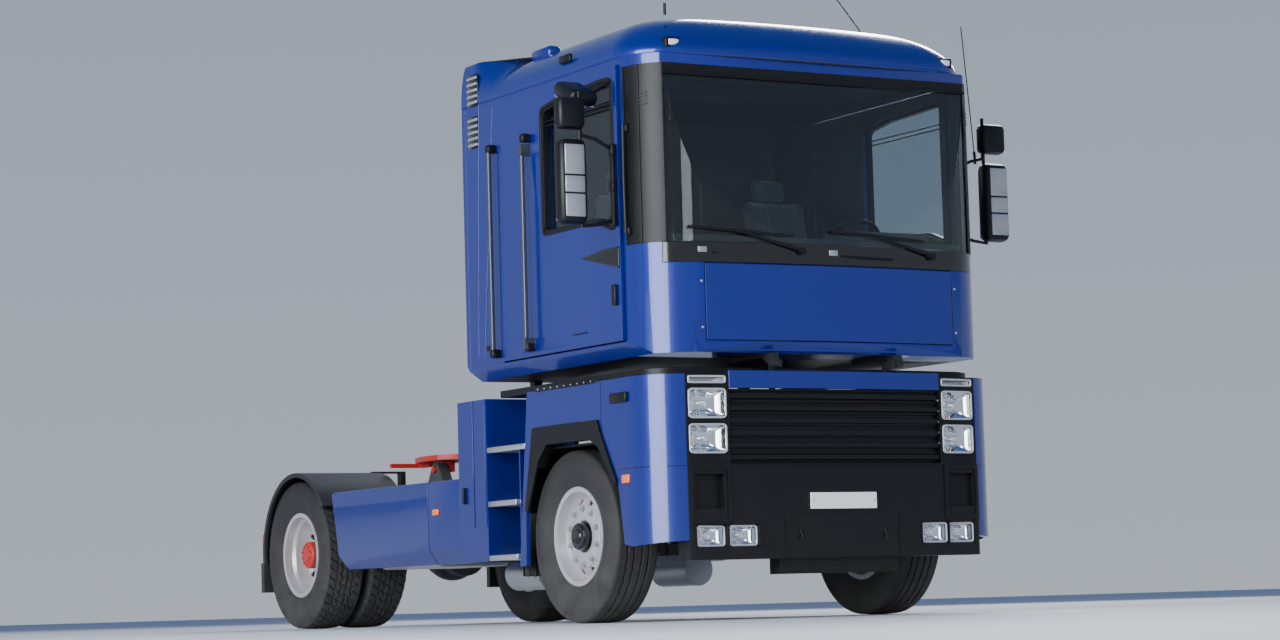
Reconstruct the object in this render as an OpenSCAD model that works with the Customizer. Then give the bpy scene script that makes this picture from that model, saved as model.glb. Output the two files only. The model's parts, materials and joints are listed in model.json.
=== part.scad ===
// Tractor unit of an articulated lorry: forward-control sleeper cab on a two-axle
// ladder chassis, with a tilting cab, two doors, steered front wheels and a fifth wheel.
// Millimetres. +X is forward, +Y is the vehicle's left, Z = 0 is the ground.
// Modules place their pieces from the front axle; from_axle() moves them to the frame.

/* [Chassis] */
// Distance between the front and the rear axle
wheelbase = 3970; // [3700:10:4400]
// Front face of the number plate, ahead of the front axle
front_reach = 1176; // [1150:1:1400]
// Rearmost point of the mudguards, behind the rear axle
tail_reach = 670; // [660:5:900]
// Width over the outside of the two frame rails
frame_w = 860; // [760:10:900]
// Height of a frame rail
rail_h = 260; // [200:10:300]
// Top of the frame rails above the ground
rail_top = 970; // [960:5:1000]
// Thickness of a frame rail's walls
rail_t = 12; // [8:1:16]

/* [Wheels] */
// Outside diameter of a tyre
tyre_d = 1050; // [960:5:1060]
// Width of a tyre
tyre_w = 312; // [260:2:315]
// Diameter of the bead seat of a rim
bead_d = 571.5; // [540:0.5:600]
// Distance between the middles of the front tyres
front_track = 2060; // [1980:10:2080]
// Distance between the middles of the twin rear tyres
rear_track = 1840; // [1780:10:1850]
// Distance between the middles of two twin tyres
twin_pitch = 340; // [332:2:360]
// Distance between the two kingpins
kingpin_track = 1740; // [1660:10:1760]
// Radius of a kingpin
kingpin_r = 25; // [20:1:30]

/* [Cab] */
// Width of the cab shell
cab_w = 2420; // [2200:10:2440]
// Front of the cab at its middle, ahead of the front axle
cab_front_x = 1162; // [1150:1:1180]
// Back of the cab, behind the front axle
cab_back_x = 1300; // [1100:10:1340]
// Underside of the cab
cab_bottom = 1555; // [1545:5:1580]
// Edge of the roof moulding, above the doors
gutter_z = 3320; // [3200:10:3500]
// Top of the roof at its middle
roof_z = 3640; // [3560:5:3800]
// Thickness of the cab walls
cab_wall = 50; // [40:1:60]
// Radius of the cab's front corners in plan
cab_corner_r = 360; // [280:10:400]
// Bottom edge of the windscreen
screen_z0 = 2205; // [2180:5:2260]
// Top edge of the windscreen
screen_z1 = 3215; // [3100:5:3260]
// Thickness of the glass
glass_t = 8; // [5:1:12]

/* [Doors] */
// Front edge of the door, ahead of the front axle
door_x1 = 742; // [700:2:750]
// Back edge of the door, behind the front axle
door_x0 = 780; // [600:10:820]
// Bottom edge of the door
door_z0 = 1648; // [1640:2:1700]
// Top edge of the door
door_z1 = 3278; // [3200:2:3290]
// How far the door stands proud of the cab side
door_proud = 22; // [10:1:30]
// Gap round each moving panel
gap = 7; // [6:0.5:10]

/* [Lower body] */
// Width over the lower body panels
body_w = 2480; // [2300:10:2500]
// Top of the lower body panels
body_top = 1430; // [1400:5:1440]
// Radius of the lower body's front corners in plan
body_corner_r = 300; // [240:10:340]
// Thickness of the body panels
panel_t = 28; // [20:1:40]
// Top of the side skirts
skirt_top = 945; // [900:5:960]
// Bottom of the side skirts
skirt_bottom = 403; // [360:5:460]
// Top of the bumper, under the grille
bumper_top = 905; // [860:5:940]
// Underside of the bumper at its sides
bumper_bottom = 350; // [320:5:400]
// Height of one step above the next
step_rise = 340; // [280:5:345]
// Top of the lowest step
step_z = 440; // [420:5:460]

/* [Fifth wheel] */
// Coupling pin of the trailer, radius of the throat that holds it
coupling_r = 25.6; // [25.4:0.1:26.5]
// Top of the coupling plate
coupling_z = 1205; // [1190:5:1260]
// How far the coupling pin stands ahead of the rear axle
coupling_lead = 560; // [400:10:700]

/* [Hidden] */
$fn = 48;
slip = 0.1;           // radial clearance of a pin that turns in its bore
seat = 0.3;           // gap between two pieces of one body that rest on each other
big = 6000;           // longer than the vehicle, for cutting boxes
axle_x = (wheelbase + tail_reach - front_reach) / 2;
hub_z = tyre_d / 2;
rail_w = 78;
rail_bottom = rail_top - rail_h;
tail_x = -wheelbase - tail_reach;
front_bow = 46;       // how far the middle of the front stands ahead of its corners
screen_rake = 126;    // how far the screen's top stands behind its foot
body_front_x = cab_front_x - 4;   // front of the lower body
skin = 24;            // thickness of the service flap
flap_half = 880;
flap_z0 = 1628;
band_z0 = 2082;       // bottom edge of the black band under the windscreen
flap_z1 = band_z0 - gap;
pillar_y = cab_w / 2 - 105;   // side edge of the windscreen
wheel_c = [520, 520, 2265];    // middle of the steering wheel
wheel_tilt = -46;
wheel_axis = [sin(wheel_tilt), 0, cos(wheel_tilt)];
door_y0 = cab_w / 2 - 56;      // inner face of the door
tilt_x = 1150;        // the cab's tilt axis
tilt_z = 1500;
tilt_y = 430;
tilt_r = 14;
tank_x0 = -wheelbase + 1150;   // back and front of the side tanks
tank_x1 = -1960;
spring_y = frame_w / 2 - 30;   // middle of the springs
cabinet_x = [-1396, -1002];    // back and front of the step cabinets
lamp_y = [755, 1026];          // inner and outer edge of the lamp columns
lamp_z = [[964, 1140], [1168, 1346], [1372, 1420]];
fog_y = [580, 790];            // inner edge of each fog lamp's pocket
fog_w = 198;
fog_z = [424, 552];
floor_top = cab_bottom + 105;
blue = [0.03, 0.14, 0.50];
black = [0.05, 0.05, 0.055];
grey = [0.45, 0.46, 0.48];
red = [0.65, 0.05, 0.04];
silver = [0.78, 0.79, 0.80];
glass = [0.6, 0.7, 0.8, 0.4];
lamp = [0.9, 0.92, 0.95];

module from_axle() { translate([axle_x, 0, 0]) children(); }
module both_sides() { children(); mirror([0, 1, 0]) children(); }
module block(x, y, z) {
  translate([min(x[0], x[1]), min(y[0], y[1]), min(z[0], z[1])])
    cube([abs(x[1] - x[0]), abs(y[1] - y[0]), abs(z[1] - z[0])]);
}
module across(y0, y1) { translate([0, max(y0, y1), 0]) rotate([90, 0, 0])
  linear_extrude(abs(y1 - y0)) children(); }
module along(x0, x1) { translate([x0, 0, 0]) rotate([90, 0, 90]) linear_extrude(x1 - x0) children(); }
module rod_y(r, y0, y1) { translate([0, y0, 0]) rotate([-90, 0, 0]) cylinder(r = r, h = y1 - y0); }
module rod_x(r, x0, x1) { translate([x0, 0, 0]) rotate([0, 90, 0]) cylinder(r = r, h = x1 - x0); }
module link(a, b, r) {
  d = b - a;
  l = norm(d);
  translate(a) rotate([0, acos(d[2] / l), atan2(d[1], d[0])]) cylinder(r = r, h = l, $fn = 16);
}

// Plan outline: flat sides, round front corners of radius r and a bowed front at xf.
function bow_angle(w, r) = atan(2 * front_bow / (w / 2 - r));
function half_plan(w, xf, r, xr) =
  let (a0 = bow_angle(w, r), yc = w / 2 - r + r * sin(a0), cx = xf - front_bow - r * cos(a0))
  concat([for (i = [0:8]) let (y = yc * i / 8) [xf - front_bow * pow(y / yc, 2), y]],
         [for (i = [1:9]) let (a = a0 + (90 - a0) * i / 9) [cx + r * cos(a), w / 2 - r + r * sin(a)]],
         [[-xr, w / 2]]);
// Front face of a plan outline at the half width y, and the edge of the crowned roof there.
function front_at(y, w, xf, r) =
  let (a0 = bow_angle(w, r), yc = w / 2 - r + r * sin(a0), cx = xf - front_bow - r * cos(a0))
  abs(y) < yc ? xf - front_bow * pow(y / yc, 2) : cx + sqrt(r * r - pow(abs(y) - (w / 2 - r), 2));
function cab_front_at(y) = front_at(y, cab_w, cab_front_x, cab_corner_r);
function body_front_at(y) = front_at(y, body_w, body_front_x, body_corner_r);
// Face of the screen at the half width y and height z
function screen_at(y, z) = min(cab_front_at(y),
  cab_front_x - screen_rake * (z - screen_z0) / (screen_z1 - screen_z0));
// A list of points backwards, each multiplied by k
function reversed(p, k) = [for (i = [len(p) - 1:-1:0]) [p[i][0] * k[0], p[i][1] * k[1]]];
module plan(w, xf, r, xr) {
  h = half_plan(w, xf, r, xr);
  polygon(concat(h, reversed(h, [1, -1])));
}

// The cab's outer form, moved in by inset on every face.
function side_profile() = [[-cab_back_x, cab_bottom + 105], [-cab_back_x + 90, cab_bottom],
  [cab_front_x - 60, cab_bottom],
  [cab_front_x, flap_z0 - 6], [cab_front_x, screen_z0], [cab_front_x - screen_rake, screen_z1],
    [cab_front_x - screen_rake, gutter_z],
  [cab_front_x - screen_rake, roof_z + 200], [-cab_back_x, roof_z + 200]];
function end_profile() = [[-cab_w / 2 + 62, cab_bottom], [cab_w / 2 - 62, cab_bottom],
  [cab_w / 2, flap_z0 - 6],
  [cab_w / 2, roof_z + 200], [-cab_w / 2, roof_z + 200], [-cab_w / 2, flap_z0 - 6]];
module cab_form(inset) {
  intersection() {
    translate([0, 0, cab_bottom - 10]) linear_extrude(gutter_z - cab_bottom + 10)
      offset(delta = -inset) plan(cab_w, cab_front_x, cab_corner_r, cab_back_x);
    across(-cab_w, cab_w) offset(delta = -inset) polygon(side_profile());
    along(-big, big) offset(delta = -inset) polygon(end_profile());
  }
}
module cab_shell() { difference() { cab_form(0); cab_form(cab_wall); } }

// The roof: a crowned lid with round long edges and a visor that leans back.
crown_in = 420;       // how far in from the edge the roof's slope runs
crown_rise = roof_z - gutter_z - 50;
crown_top = gutter_z + 30 + crown_rise;
visor_x = cab_front_x - 78;   // front of the roof at its middle
function slope_z(d) = gutter_z + 30 + crown_rise * pow(1 - pow(1 - d / crown_in, 1.6), 0.625);
slope = [for (i = [0:8]) let (d = crown_in * pow(i / 8, 2)) [d, slope_z(d)]];
function visor_profile() = concat([[-cab_back_x, gutter_z + seat], [visor_x, gutter_z + seat]],
  [for (p = slope) [visor_x - p[0], p[1]]],
  [[400, roof_z - 6], [-100, roof_z], [-900, roof_z - 12], [-cab_back_x, roof_z - 24]]);
function crown_half(w) = [for (p = slope) [w / 2 - p[0], p[1]]];
function crown_profile(w) = concat([[-w / 2, gutter_z - 10], [w / 2, gutter_z - 10]], crown_half(w),
  [[w / 4, roof_z - 8], [0, roof_z], [-w / 4, roof_z - 8]], reversed(crown_half(w), [-1, 1]));
// Top of the roof at the half width y, and at x in the visor's slope
function crown_at(y) = let (d = cab_w / 2 - abs(y))
  d < crown_in ? lookup(d, slope)
    : crown_top + (roof_z - 8 - crown_top) * (d - crown_in) / (cab_w / 4 - crown_in);
function visor_at(x) = lookup(visor_x - x, slope);
module roof_form(inset) {
  intersection() {
    translate([0, 0, gutter_z + seat - inset]) linear_extrude(500)
      offset(delta = -inset) plan(cab_w, visor_x, cab_corner_r, cab_back_x);
    across(-cab_w, cab_w) offset(delta = -inset) polygon(visor_profile());
    along(-big, big) offset(delta = -inset) polygon(crown_profile(cab_w));
  }
}

module chassis_frame() {
  rail_x0 = tail_x + 90;
  color(black) from_axle() union() {
    both_sides() translate([0, frame_w / 2 - rail_w, 0]) difference() {
      block([rail_x0, 760], [0, rail_w], [rail_bottom, rail_top]);
      block([rail_x0 - 1, 761], [-1, rail_w - rail_t], [rail_bottom + rail_t, rail_top - rail_t]);
    }
    // Crossmembers: tail, ahead of the rear axle, gearbox, and the front one under the radiator
    for (x = [rail_x0, -wheelbase - 420, -wheelbase + 620, tank_x1 - 240, -1120])
      block([x, x + 70], [-frame_w / 2 + 6, frame_w / 2 - 6], [rail_bottom + 60, rail_top - rail_t + 2]);
    block([720, 800], [-frame_w / 2, frame_w / 2], [560, rail_top]);
    // Outriggers that carry the skirts and the step cabinets
    both_sides() for (x = [tank_x0 - 200, tank_x1 + 60, -1290])
      block([x, x + 50], [frame_w / 2 - 2, body_w / 2 - panel_t - seat], [rail_top - 90, rail_top - 40]);
    // Front beam behind the lamps, its two plates, and the shelf that carries the bumper
    block([770, 850], [-body_w / 2 + panel_t + 40, body_w / 2 - panel_t - 40], [1210, 1290]);
    both_sides() {
      block([780, 830], [frame_w / 2 - 60, frame_w / 2 - 20], [rail_top - 30, 1250]);
      block([790, body_front_at(745) - 117 - seat], [725, 745], [700, 1290]);
      block([990, body_front_at(745) - 71], [725, 745], [bumper_top + 24, 1290]);
      block([790, 840], [frame_w / 2 - 70, 745], [700, 800]);
      // Tilt bearer of the cab
      block([780, tilt_x - 75], [tilt_y - 35, tilt_y - 12], [1250, 1330]);
      block([tilt_x - 110, tilt_x - 75], [tilt_y - 35, tilt_y - 12], [1310, tilt_z + 18]);
      translate([tilt_x, 0, tilt_z]) rod_y(tilt_r, tilt_y - 35, tilt_y + 36);
      block([tilt_x - 110, tilt_x + 6], [tilt_y - 35, tilt_y - 12], [tilt_z - 30, tilt_z + 18]);
    }
    // Tail beam that carries the lamps
    block([tail_x + 46 + seat, tail_x + 84], [-1190, 1190], [600, 660]);
    both_sides() block([tail_x + 46 + seat, rail_x0 + 6], [300, 420], [600, rail_bottom + 70]);
    // Rear cab supports on the step cabinets
    both_sides() {
      block([-1180, -1120], [760, 820], [rail_top - 90, cab_bottom - seat]);
      block([-1180, -1120], [frame_w / 2 - 2, 820], [rail_top - 90, rail_top - 30]);
    }
  }
}

module engine_block() {
  color(grey) from_axle() union() {
    block([-560, 700], [-330, 330], [600, 1330]);
    block([-1000, -555], [-230, 230], [560, 900]);
    // Engine mounts on the rails
    both_sides() block([-300, -200], [325, frame_w / 2 - rail_w - seat], [rail_top + 10, rail_top + 60]);
    both_sides() block([-300, -200], [frame_w / 2 - rail_w - 30, frame_w / 2 - 10],
      [rail_top + seat, rail_top + 60]);
  }
}

module front_axle_beam() {
  color(black) from_axle() {
    union() {
      block([-60, 60], [-560, 560], [400, 470]);
      both_sides() {
        along(-45, 45) polygon([[540, 402], [kingpin_track / 2 - 66, hub_z - 58],
          [kingpin_track / 2 - 30, hub_z - 58],
          [kingpin_track / 2 - 30, hub_z + 55],
          [kingpin_track / 2 - 90, hub_z + 55], [540, 468]]);
        translate([0, kingpin_track / 2, hub_z - 58]) cylinder(r = 48, h = 113);
        translate([0, kingpin_track / 2, hub_z - 112]) cylinder(r = kingpin_r, h = 224);
      }
    }
    // Spring seats
    both_sides() block([-70, 70], [spring_y - 60, spring_y + 60], [470 + seat, 500]);
  }
}

module knuckle() {
  // Yoke round the beam's eye, with the stub axle that carries the hub
  y0 = kingpin_track / 2;
  color(black) from_axle() difference() {
    union() {
      for (z = [hub_z - 110, hub_z + 62]) {
        translate([0, y0, z]) cylinder(r = 50, h = 48);
        block([-40, 40], [y0, y0 + 72], [z, z + 48]);
      }
      block([-55, 55], [y0 + 56, y0 + 80], [hub_z - 110, hub_z + 110]);
      translate([0, 0, hub_z]) rod_y(34, y0 + 56, front_track / 2 + 60);
      // Steering arm
      block([-190, 30], [y0 - 30, y0 + 10], [hub_z - 110, hub_z - 80]);
    }
    translate([0, y0, hub_z - 200]) cylinder(r = kingpin_r + slip, h = 400);
  }
}
module knuckle_left() { knuckle(); }
module knuckle_right() { mirror([0, 1, 0]) knuckle(); }

module rear_axle() {
  color(black) from_axle() translate([-wheelbase, 0, hub_z]) union() {
    rod_y(70, -560, 560);
    rod_y(44, -rear_track / 2 - 215, rear_track / 2 + 215);
    rod_x(175, -130, 215);
    sphere(r = 205);
    both_sides() block([-90, 90], [spring_y - 70, spring_y + 70], [66, 110]);
  }
}

module springs() {
  // Front leaf springs with dampers, rear air springs on their beams
  color(black) from_axle() {
    both_sides() {
      across(spring_y - 40, spring_y + 40) polygon([[-620, 690], [-300, 560], [0, 500 + seat],
        [300, 560], [620, 690],
        [620, rail_bottom - seat], [300, 590], [0, 545], [-300, 590], [-620, rail_bottom - seat]]);
      for (x = [-620, 600]) block([x - 20, x + 40], [spring_y - 40, spring_y + 40],
        [690, rail_bottom - seat]);
      translate([-wheelbase, spring_y, 0]) {
        block([-520, 480], [-10, 50], [hub_z + 110 + seat, hub_z + 150]);
        for (x = [-420, 380]) translate([x, -5, hub_z + 150]) difference() {
          cylinder(r = 105, h = rail_bottom + 60 - hub_z - 150);
          block([-200, 200], [-200, 35 + seat], [rail_bottom - seat - hub_z - 150, 400]);
        }
      }
    }
  }
}

module propshaft() {
  x0 = -wheelbase + 215;
  color(grey) from_axle() {
    link([x0 + 3.6, 0, hub_z + 10], [-1000 - 3.6, 0, 700], 55);
  }
}

module side_tanks() {
  // Fuel tanks behind the skirts and the air reservoirs below the left and right rails
  color(silver) from_axle() {
    both_sides() {
      along(tank_x0, tank_x1) offset(r = 60) polygon([[frame_w / 2 + 110, 450], [body_w / 2 - 160, 450],
        [body_w / 2 - 160, 800], [frame_w / 2 + 110, 800]]);
      for (x = [tank_x0 + 120, tank_x1 - 140])
        block([x, x + 60], [frame_w / 2 + seat, frame_w / 2 + 50 - seat], [720, 860]);
    }
    both_sides() translate([0, 560, 330]) rod_x(110, -1880, -1420);
    both_sides() for (x = [-1800, -1520])
      block([x, x + 40], [frame_w / 2 - 60, 600], [430, rail_bottom - seat]);
  }
}

module side_skirts() {
  // Two panels a side, with a tucked lower edge and a slanted back edge
  yo = body_w / 2;
  front_x = cabinet_x[0] - seat;
  seam = -1850;
  back_top = -wheelbase + 604;
  back_low = -wheelbase + 731;
  color(blue) from_axle() both_sides() {
    for (x = [[seam + 4, front_x], [back_top - 200, seam - 4]]) intersection() {
      along(x[0], x[1]) polygon([[yo - panel_t, skirt_top - 12], [yo - panel_t, skirt_bottom + 96],
        [yo - panel_t - 62, skirt_bottom], [yo - 66, skirt_bottom], [yo, skirt_bottom + 100],
          [yo, skirt_top - 20],
        [yo - 20, skirt_top], [yo - 80, skirt_top], [yo - 80, skirt_top - 12]]);
      across(0, yo + 50) polygon([[back_top, skirt_top + 5], [back_low, skirt_bottom - 5],
        [front_x, skirt_bottom - 5],
        [front_x, skirt_top + 5]]);
    }
  }
}

// The lower body's outer form in plan, as a wall of the panel's thickness.
module body_wall(z0, z1) {
  translate([0, 0, z0]) linear_extrude(z1 - z0) difference() {
    plan(body_w, body_front_x, body_corner_r, 1400);
    offset(delta = -panel_t) plan(body_w, body_front_x, body_corner_r, 1600);
  }
}
bumper_half = 1031;   // half width of the black bumper, between the corner panels
post_x = -608;        // front face of the plate beside the steps
step_back_y = 880;    // inner face of the steps' back panel
tread_t = 34;
arch_top = 1206;      // the panel over the arch: lower edge, foot, and its slanted back edge
arch_foot = 361;
function arch_edge(z) = -588 + 143 * (z - arch_foot) / (1430 - arch_foot);
function tread_z(i) = step_z + i * step_rise;
module body_panels() {
  yo = body_w / 2;
  yi = yo - panel_t;
  color(blue) from_axle() {
    // Corner panel, from the arch to the lamps
    intersection() {
      body_wall(440, body_top);
      across(0, yo + 1) polygon([[476, body_top], [476, 1125], [655, 828], [715, 457], [820, 441],
        [cab_front_x, 470],
        [cab_front_x, body_top]]);
      block([400, cab_front_x], [bumper_half + seat, yo + 1], [0, 2000]);
    }
    // Flanges along the top that carry the deck
    intersection() {
      translate([0, 0, body_top - 18]) linear_extrude(18 - seat) difference() {
        offset(delta = -panel_t - seat) plan(body_w, body_front_x, body_corner_r, 1600);
        offset(delta = -100) plan(body_w, body_front_x, body_corner_r, 1700);
      }
      block([-447, 900], [600, yo], [0, 2000]);
    }
    // Panel over the wheel arch and the post beside the steps
    across(yi, yo) polygon([[arch_edge(body_top), body_top], [471, body_top], [471, 1138],
      [441, arch_top],
      [-371, arch_top], [-490, 700], [-503, arch_foot], [arch_edge(arch_foot), arch_foot]]);
    // Inner shelf that ties the arch panel to the front beam
    block([500, 560], [yi - 200, yi - seat], [1225, 1275]);
    block([559, 770 - seat], [yi - 90, yi - 41], [1225, 1275]);
    // Step cabinet behind the steps: a closed box with the steps' back panel
    difference() {
      union() {
        block(cabinet_x, [700, yo], [skirt_bottom, body_top]);
        block([cabinet_x[1] - 1, post_x], [step_back_y, step_back_y + panel_t], [skirt_bottom, body_top]);
        block([post_x - 14, post_x], [step_back_y, yi - seat],
          [skirt_bottom, tread_z(2) - tread_t - seat]);
        block([post_x - 1, -448], [step_back_y, step_back_y + panel_t], [tread_z(2) - tread_t, body_top]);
      }
      // Slot for the rear support of the cab, and the hollow behind the outer face
      block([-1181, -1119], [759, 821], [skirt_bottom, body_top + 10]);
      block([cabinet_x[0] + panel_t, cabinet_x[1] - panel_t], [672, yi],
        [skirt_bottom - 1, body_top - 22]);
    }
  }
}
module body_panels_left() { body_panels(); }
module body_panels_right() { mirror([0, 1, 0]) body_panels(); }

module front_strip() {
  // Painted rail over the grille, bowed as the front is
  color(blue) from_axle() intersection() {
    body_wall(1346, 1450);
    block([900, big], [-749 + seat, 749 - seat], [0, 2000]);
  }
}

module arch_trims() {
  // Black arch edging outside, and the spray flap behind the wheel
  yo = body_w / 2;
  color(black) from_axle() both_sides() {
    across(yo - 60, yo + 12) polygon([[-371, arch_top - 3], [439, arch_top - 3], [470, 1130],
      [651, 828], [626, 800],
      [445, 1040], [340, 1092], [-190, 1092], [-300, 1000], [-320, 960], [-427, 960]]);
    // The rear leg is thin, so that the steered tyre swings past it
    across(yo - 2, yo + 12) polygon([[-371, arch_top - 3], [-300, 1000], [-456, 690], [-487, 700]]);
    // Inner arch over the tyre
    across(frame_w / 2 + 20, yo - 61) polygon([[-600, 700], [-586, 700], [-505, 980], [-430, 1066],
      [440, 1066],
      [600, 860], [612, 864], [446, 1080], [-436, 1080], [-518, 986]]);
    // Spray flap on the plate beside the steps
    block([post_x + seat, post_x + 8], [720, yo - panel_t - 1], [300, 700 - seat]);
  }
}

module step_treads() {
  yo = body_w / 2;
  color(silver) from_axle() both_sides() {
    for (i = [0:2]) block([cabinet_x[1] + seat, i == 2 ? arch_edge(tread_z(i) - tread_t) - seat
      : post_x - 14 - seat],
      [step_back_y + panel_t + seat, yo - 4], [tread_z(i) - tread_t, tread_z(i)]);
  }
}

module grille() {
  // Bowed black frame with slats, between the lamp columns
  z0 = bumper_top + 4;
  z1 = 1342;
  color(black) from_axle() intersection() {
    translate([0, 0, z0]) union() {
      linear_extrude(z1 - z0) difference() {
        offset(delta = -40) plan(body_w, body_front_x, body_corner_r, 1400);
        offset(delta = -70) plan(body_w, body_front_x, body_corner_r, 1600);
      }
      for (z = [18, 90, 162, 234, 306, 378]) translate([0, 0, z]) linear_extrude(30) difference() {
        offset(delta = -12) plan(body_w, body_front_x, body_corner_r, 1400);
        offset(delta = -66) plan(body_w, body_front_x, body_corner_r, 1600);
      }
    }
    block([900, big], [-744, 744], [0, 2000]);
  }
}

module headlamps() {
  // Two lamps a side with an indicator over them, each a lens block in the column
  color(lamp) from_axle() both_sides() for (z = lamp_z)
    intersection() {
      translate([0, 0, z[0]]) linear_extrude(z[1] - z[0]) difference() {
        offset(delta = -10) plan(body_w, body_front_x, body_corner_r, 1400);
        offset(delta = -100) plan(body_w, body_front_x, body_corner_r, 1600);
      }
      block([900, big], [lamp_y[0] + 12, lamp_y[1] - 12], [0, 2000]);
    }
}

module bumper() {
  // Black bumper with side boxes and lamp pockets, and the two lamp columns over it
  color(black) from_axle() difference() {
    union() {
      intersection() {
        translate([0, 0, bumper_bottom]) linear_extrude(bumper_top - bumper_bottom) difference() {
          plan(body_w, cab_front_x, body_corner_r, 1400);
          offset(delta = -120) plan(body_w, cab_front_x, body_corner_r, 1600);
        }
        block([850, big], [-bumper_half, bumper_half], [0, 2000]);
      }
      // Centre skid under the bumper
      block([cab_front_x - 170, cab_front_x - 60], [-420, 420], [260, bumper_bottom + 5]);
      // Lamp columns
      intersection() {
        translate([0, 0, bumper_top - 1]) linear_extrude(body_top - bumper_top) difference() {
          offset(delta = -4) plan(body_w, body_front_x, body_corner_r, 1400);
          offset(delta = -120) plan(body_w, body_front_x, body_corner_r, 1600);
        }
        union() both_sides() block([900, big], [lamp_y[0] - 6, lamp_y[1] + 4], [0, 2000]);
      }
    }
    both_sides() for (z = lamp_z)
      intersection() {
        translate([0, 0, z[0] - seat]) linear_extrude(z[1] - z[0] + 2 * seat) difference() {
          offset(delta = 10) plan(body_w, body_front_x, body_corner_r, 1400);
          offset(delta = -100 - seat) plan(body_w, body_front_x, body_corner_r, 1600);
        }
        block([900, big], [lamp_y[0] + 12 - seat, lamp_y[1] - 12 + seat], [0, 2000]);
      }
    both_sides() for (y = fog_y) block([cab_front_x - 120, big], [y, y + fog_w], fog_z);
    // Side boxes over the fog lamps
    both_sides() block([cab_front_x - 80, big], [800, 990], [645, 845]);
  }
}

module fog_lamps() {
  color(lamp) from_axle() both_sides() for (y = fog_y)
    block([cab_front_x - 120 + seat, body_front_at(y + fog_w) - 12], [y + 3, y + fog_w - 3],
      [fog_z[0] + seat, fog_z[1] - 3]);
}

module number_plate() {
  color(silver) from_axle() block([cab_front_x + seat, front_reach], [-233, 233], [636, 732]);
}

function guard_arc(r, way) =
  [for (i = [0:20]) let (a = way > 0 ? 35 + 7.5 * i : 185 - 7.5 * i) [r * cos(a), r * sin(a)]];
module mudguards() {
  // A curved guard over each pair of twins, with a straight flap behind
  r0 = hub_z + 48;
  y0 = 600;
  y1 = body_w / 2 + 10;
  stay_z = max(r0 + 8, rail_top + seat - hub_z);
  color(black) from_axle() both_sides() translate([-wheelbase, 0, hub_z]) union() {
    across(y0, y1) polygon(concat(guard_arc(r0 + 14, 1), guard_arc(r0, -1)));
    across(y1 - 24, y1) polygon(concat(guard_arc(r0 + 14, 1), guard_arc(r0 - 18, -1)));
    block([-r0 - 48, -r0 + 4], [y0, y1], [-255, -40]);
    // Stays from the frame rail to the guard, one over its crest and one behind the wheel
    block([-30, 30], [frame_w / 2 - 50, y0 + 40], [stay_z, stay_z + 14]);
    block([-30, 30], [y0, y0 + 40], [r0 + 8, stay_z + 14]);
    block([-30, 30], [frame_w / 2 - 50, frame_w / 2 - 10], [rail_top + seat - hub_z, stay_z + 14]);
    block([-r0 - 30, -r0 + 14], [frame_w / 2 + seat, y0 + 5],
      [rail_bottom + 25 - hub_z, rail_bottom + 65 - hub_z]);
  }
}

module tail_lamps() {
  // Lamp clusters on the tail, either side of the rails
  color(red) from_axle() both_sides()
    block([tail_x, tail_x + 46], [frame_w / 2 + 200, body_w / 2 - 20], [560, 700]);
}

module cab_deck() {
  // Black filler under the cab, with an open middle
  color(black) from_axle() difference() {
    translate([0, 0, body_top + seat])
      linear_extrude(44) offset(delta = -70) plan(body_w, cab_front_x - 60, body_corner_r, 1000);
    block([-900, 900], [-640, 640], [body_top, 1600]);
  }
}

coupling_x = -wheelbase + coupling_lead;
rock_z = coupling_z - 95;
trunnion_r = 24;
module fifth_wheel_base() {
  color(grey) from_axle() union() {
    block([coupling_x - 420, coupling_x + 330], [-frame_w / 2 - 60, frame_w / 2 + 60],
      [rail_top + seat, rail_top + 22]);
    both_sides() difference() {
      across(300, 380) polygon([[coupling_x - 190, rail_top + 20], [coupling_x + 90, rail_top + 20],
        [coupling_x - 10, rock_z + 42], [coupling_x - 90, rock_z + 42]]);
      translate([coupling_x - 50, 0, rock_z]) rod_y(trunnion_r + slip, 290, 390);
    }
  }
}

module fifth_wheel() {
  // Horseshoe plate with a throat open to the rear, the jaw, and its two trunnions
  slot = coupling_r * 0.7;
  color(red) from_axle() difference() {
    union() {
      translate([coupling_x, 0, coupling_z - 38]) linear_extrude(38)
        polygon([[-330, 400], [-120, 455], [140, 455], [270, 330], [300, 120], [300, -120],
          [270, -330], [140, -455],
          [-120, -455], [-330, -400], [-450, -250], [-450, -150], [-100, -40], [-100, 40],
            [-450, 150], [-450, 250]]);
      translate([coupling_x, 0, coupling_z - 70]) cylinder(r = 90, h = 40);
      both_sides() {
        block([coupling_x - 110, coupling_x + 10], [250, 290], [rock_z - 20, coupling_z - 30]);
        translate([coupling_x - 50, 0, rock_z]) rod_y(trunnion_r, 260, 400);
      }
      // Release lever
      block([coupling_x - 420, coupling_x - 396], [-560, -300], [coupling_z - 66, coupling_z - 36]);
      block([coupling_x - 420, coupling_x - 250], [-330, -290], [coupling_z - 66, coupling_z - 30]);
    }
    translate([coupling_x, 0, coupling_z - 80]) cylinder(r = coupling_r, h = 100);
    block([coupling_x - 130, coupling_x - coupling_r * 0.5], [-slot, slot],
      [coupling_z - 80, coupling_z + 10]);
  }
}

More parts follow.
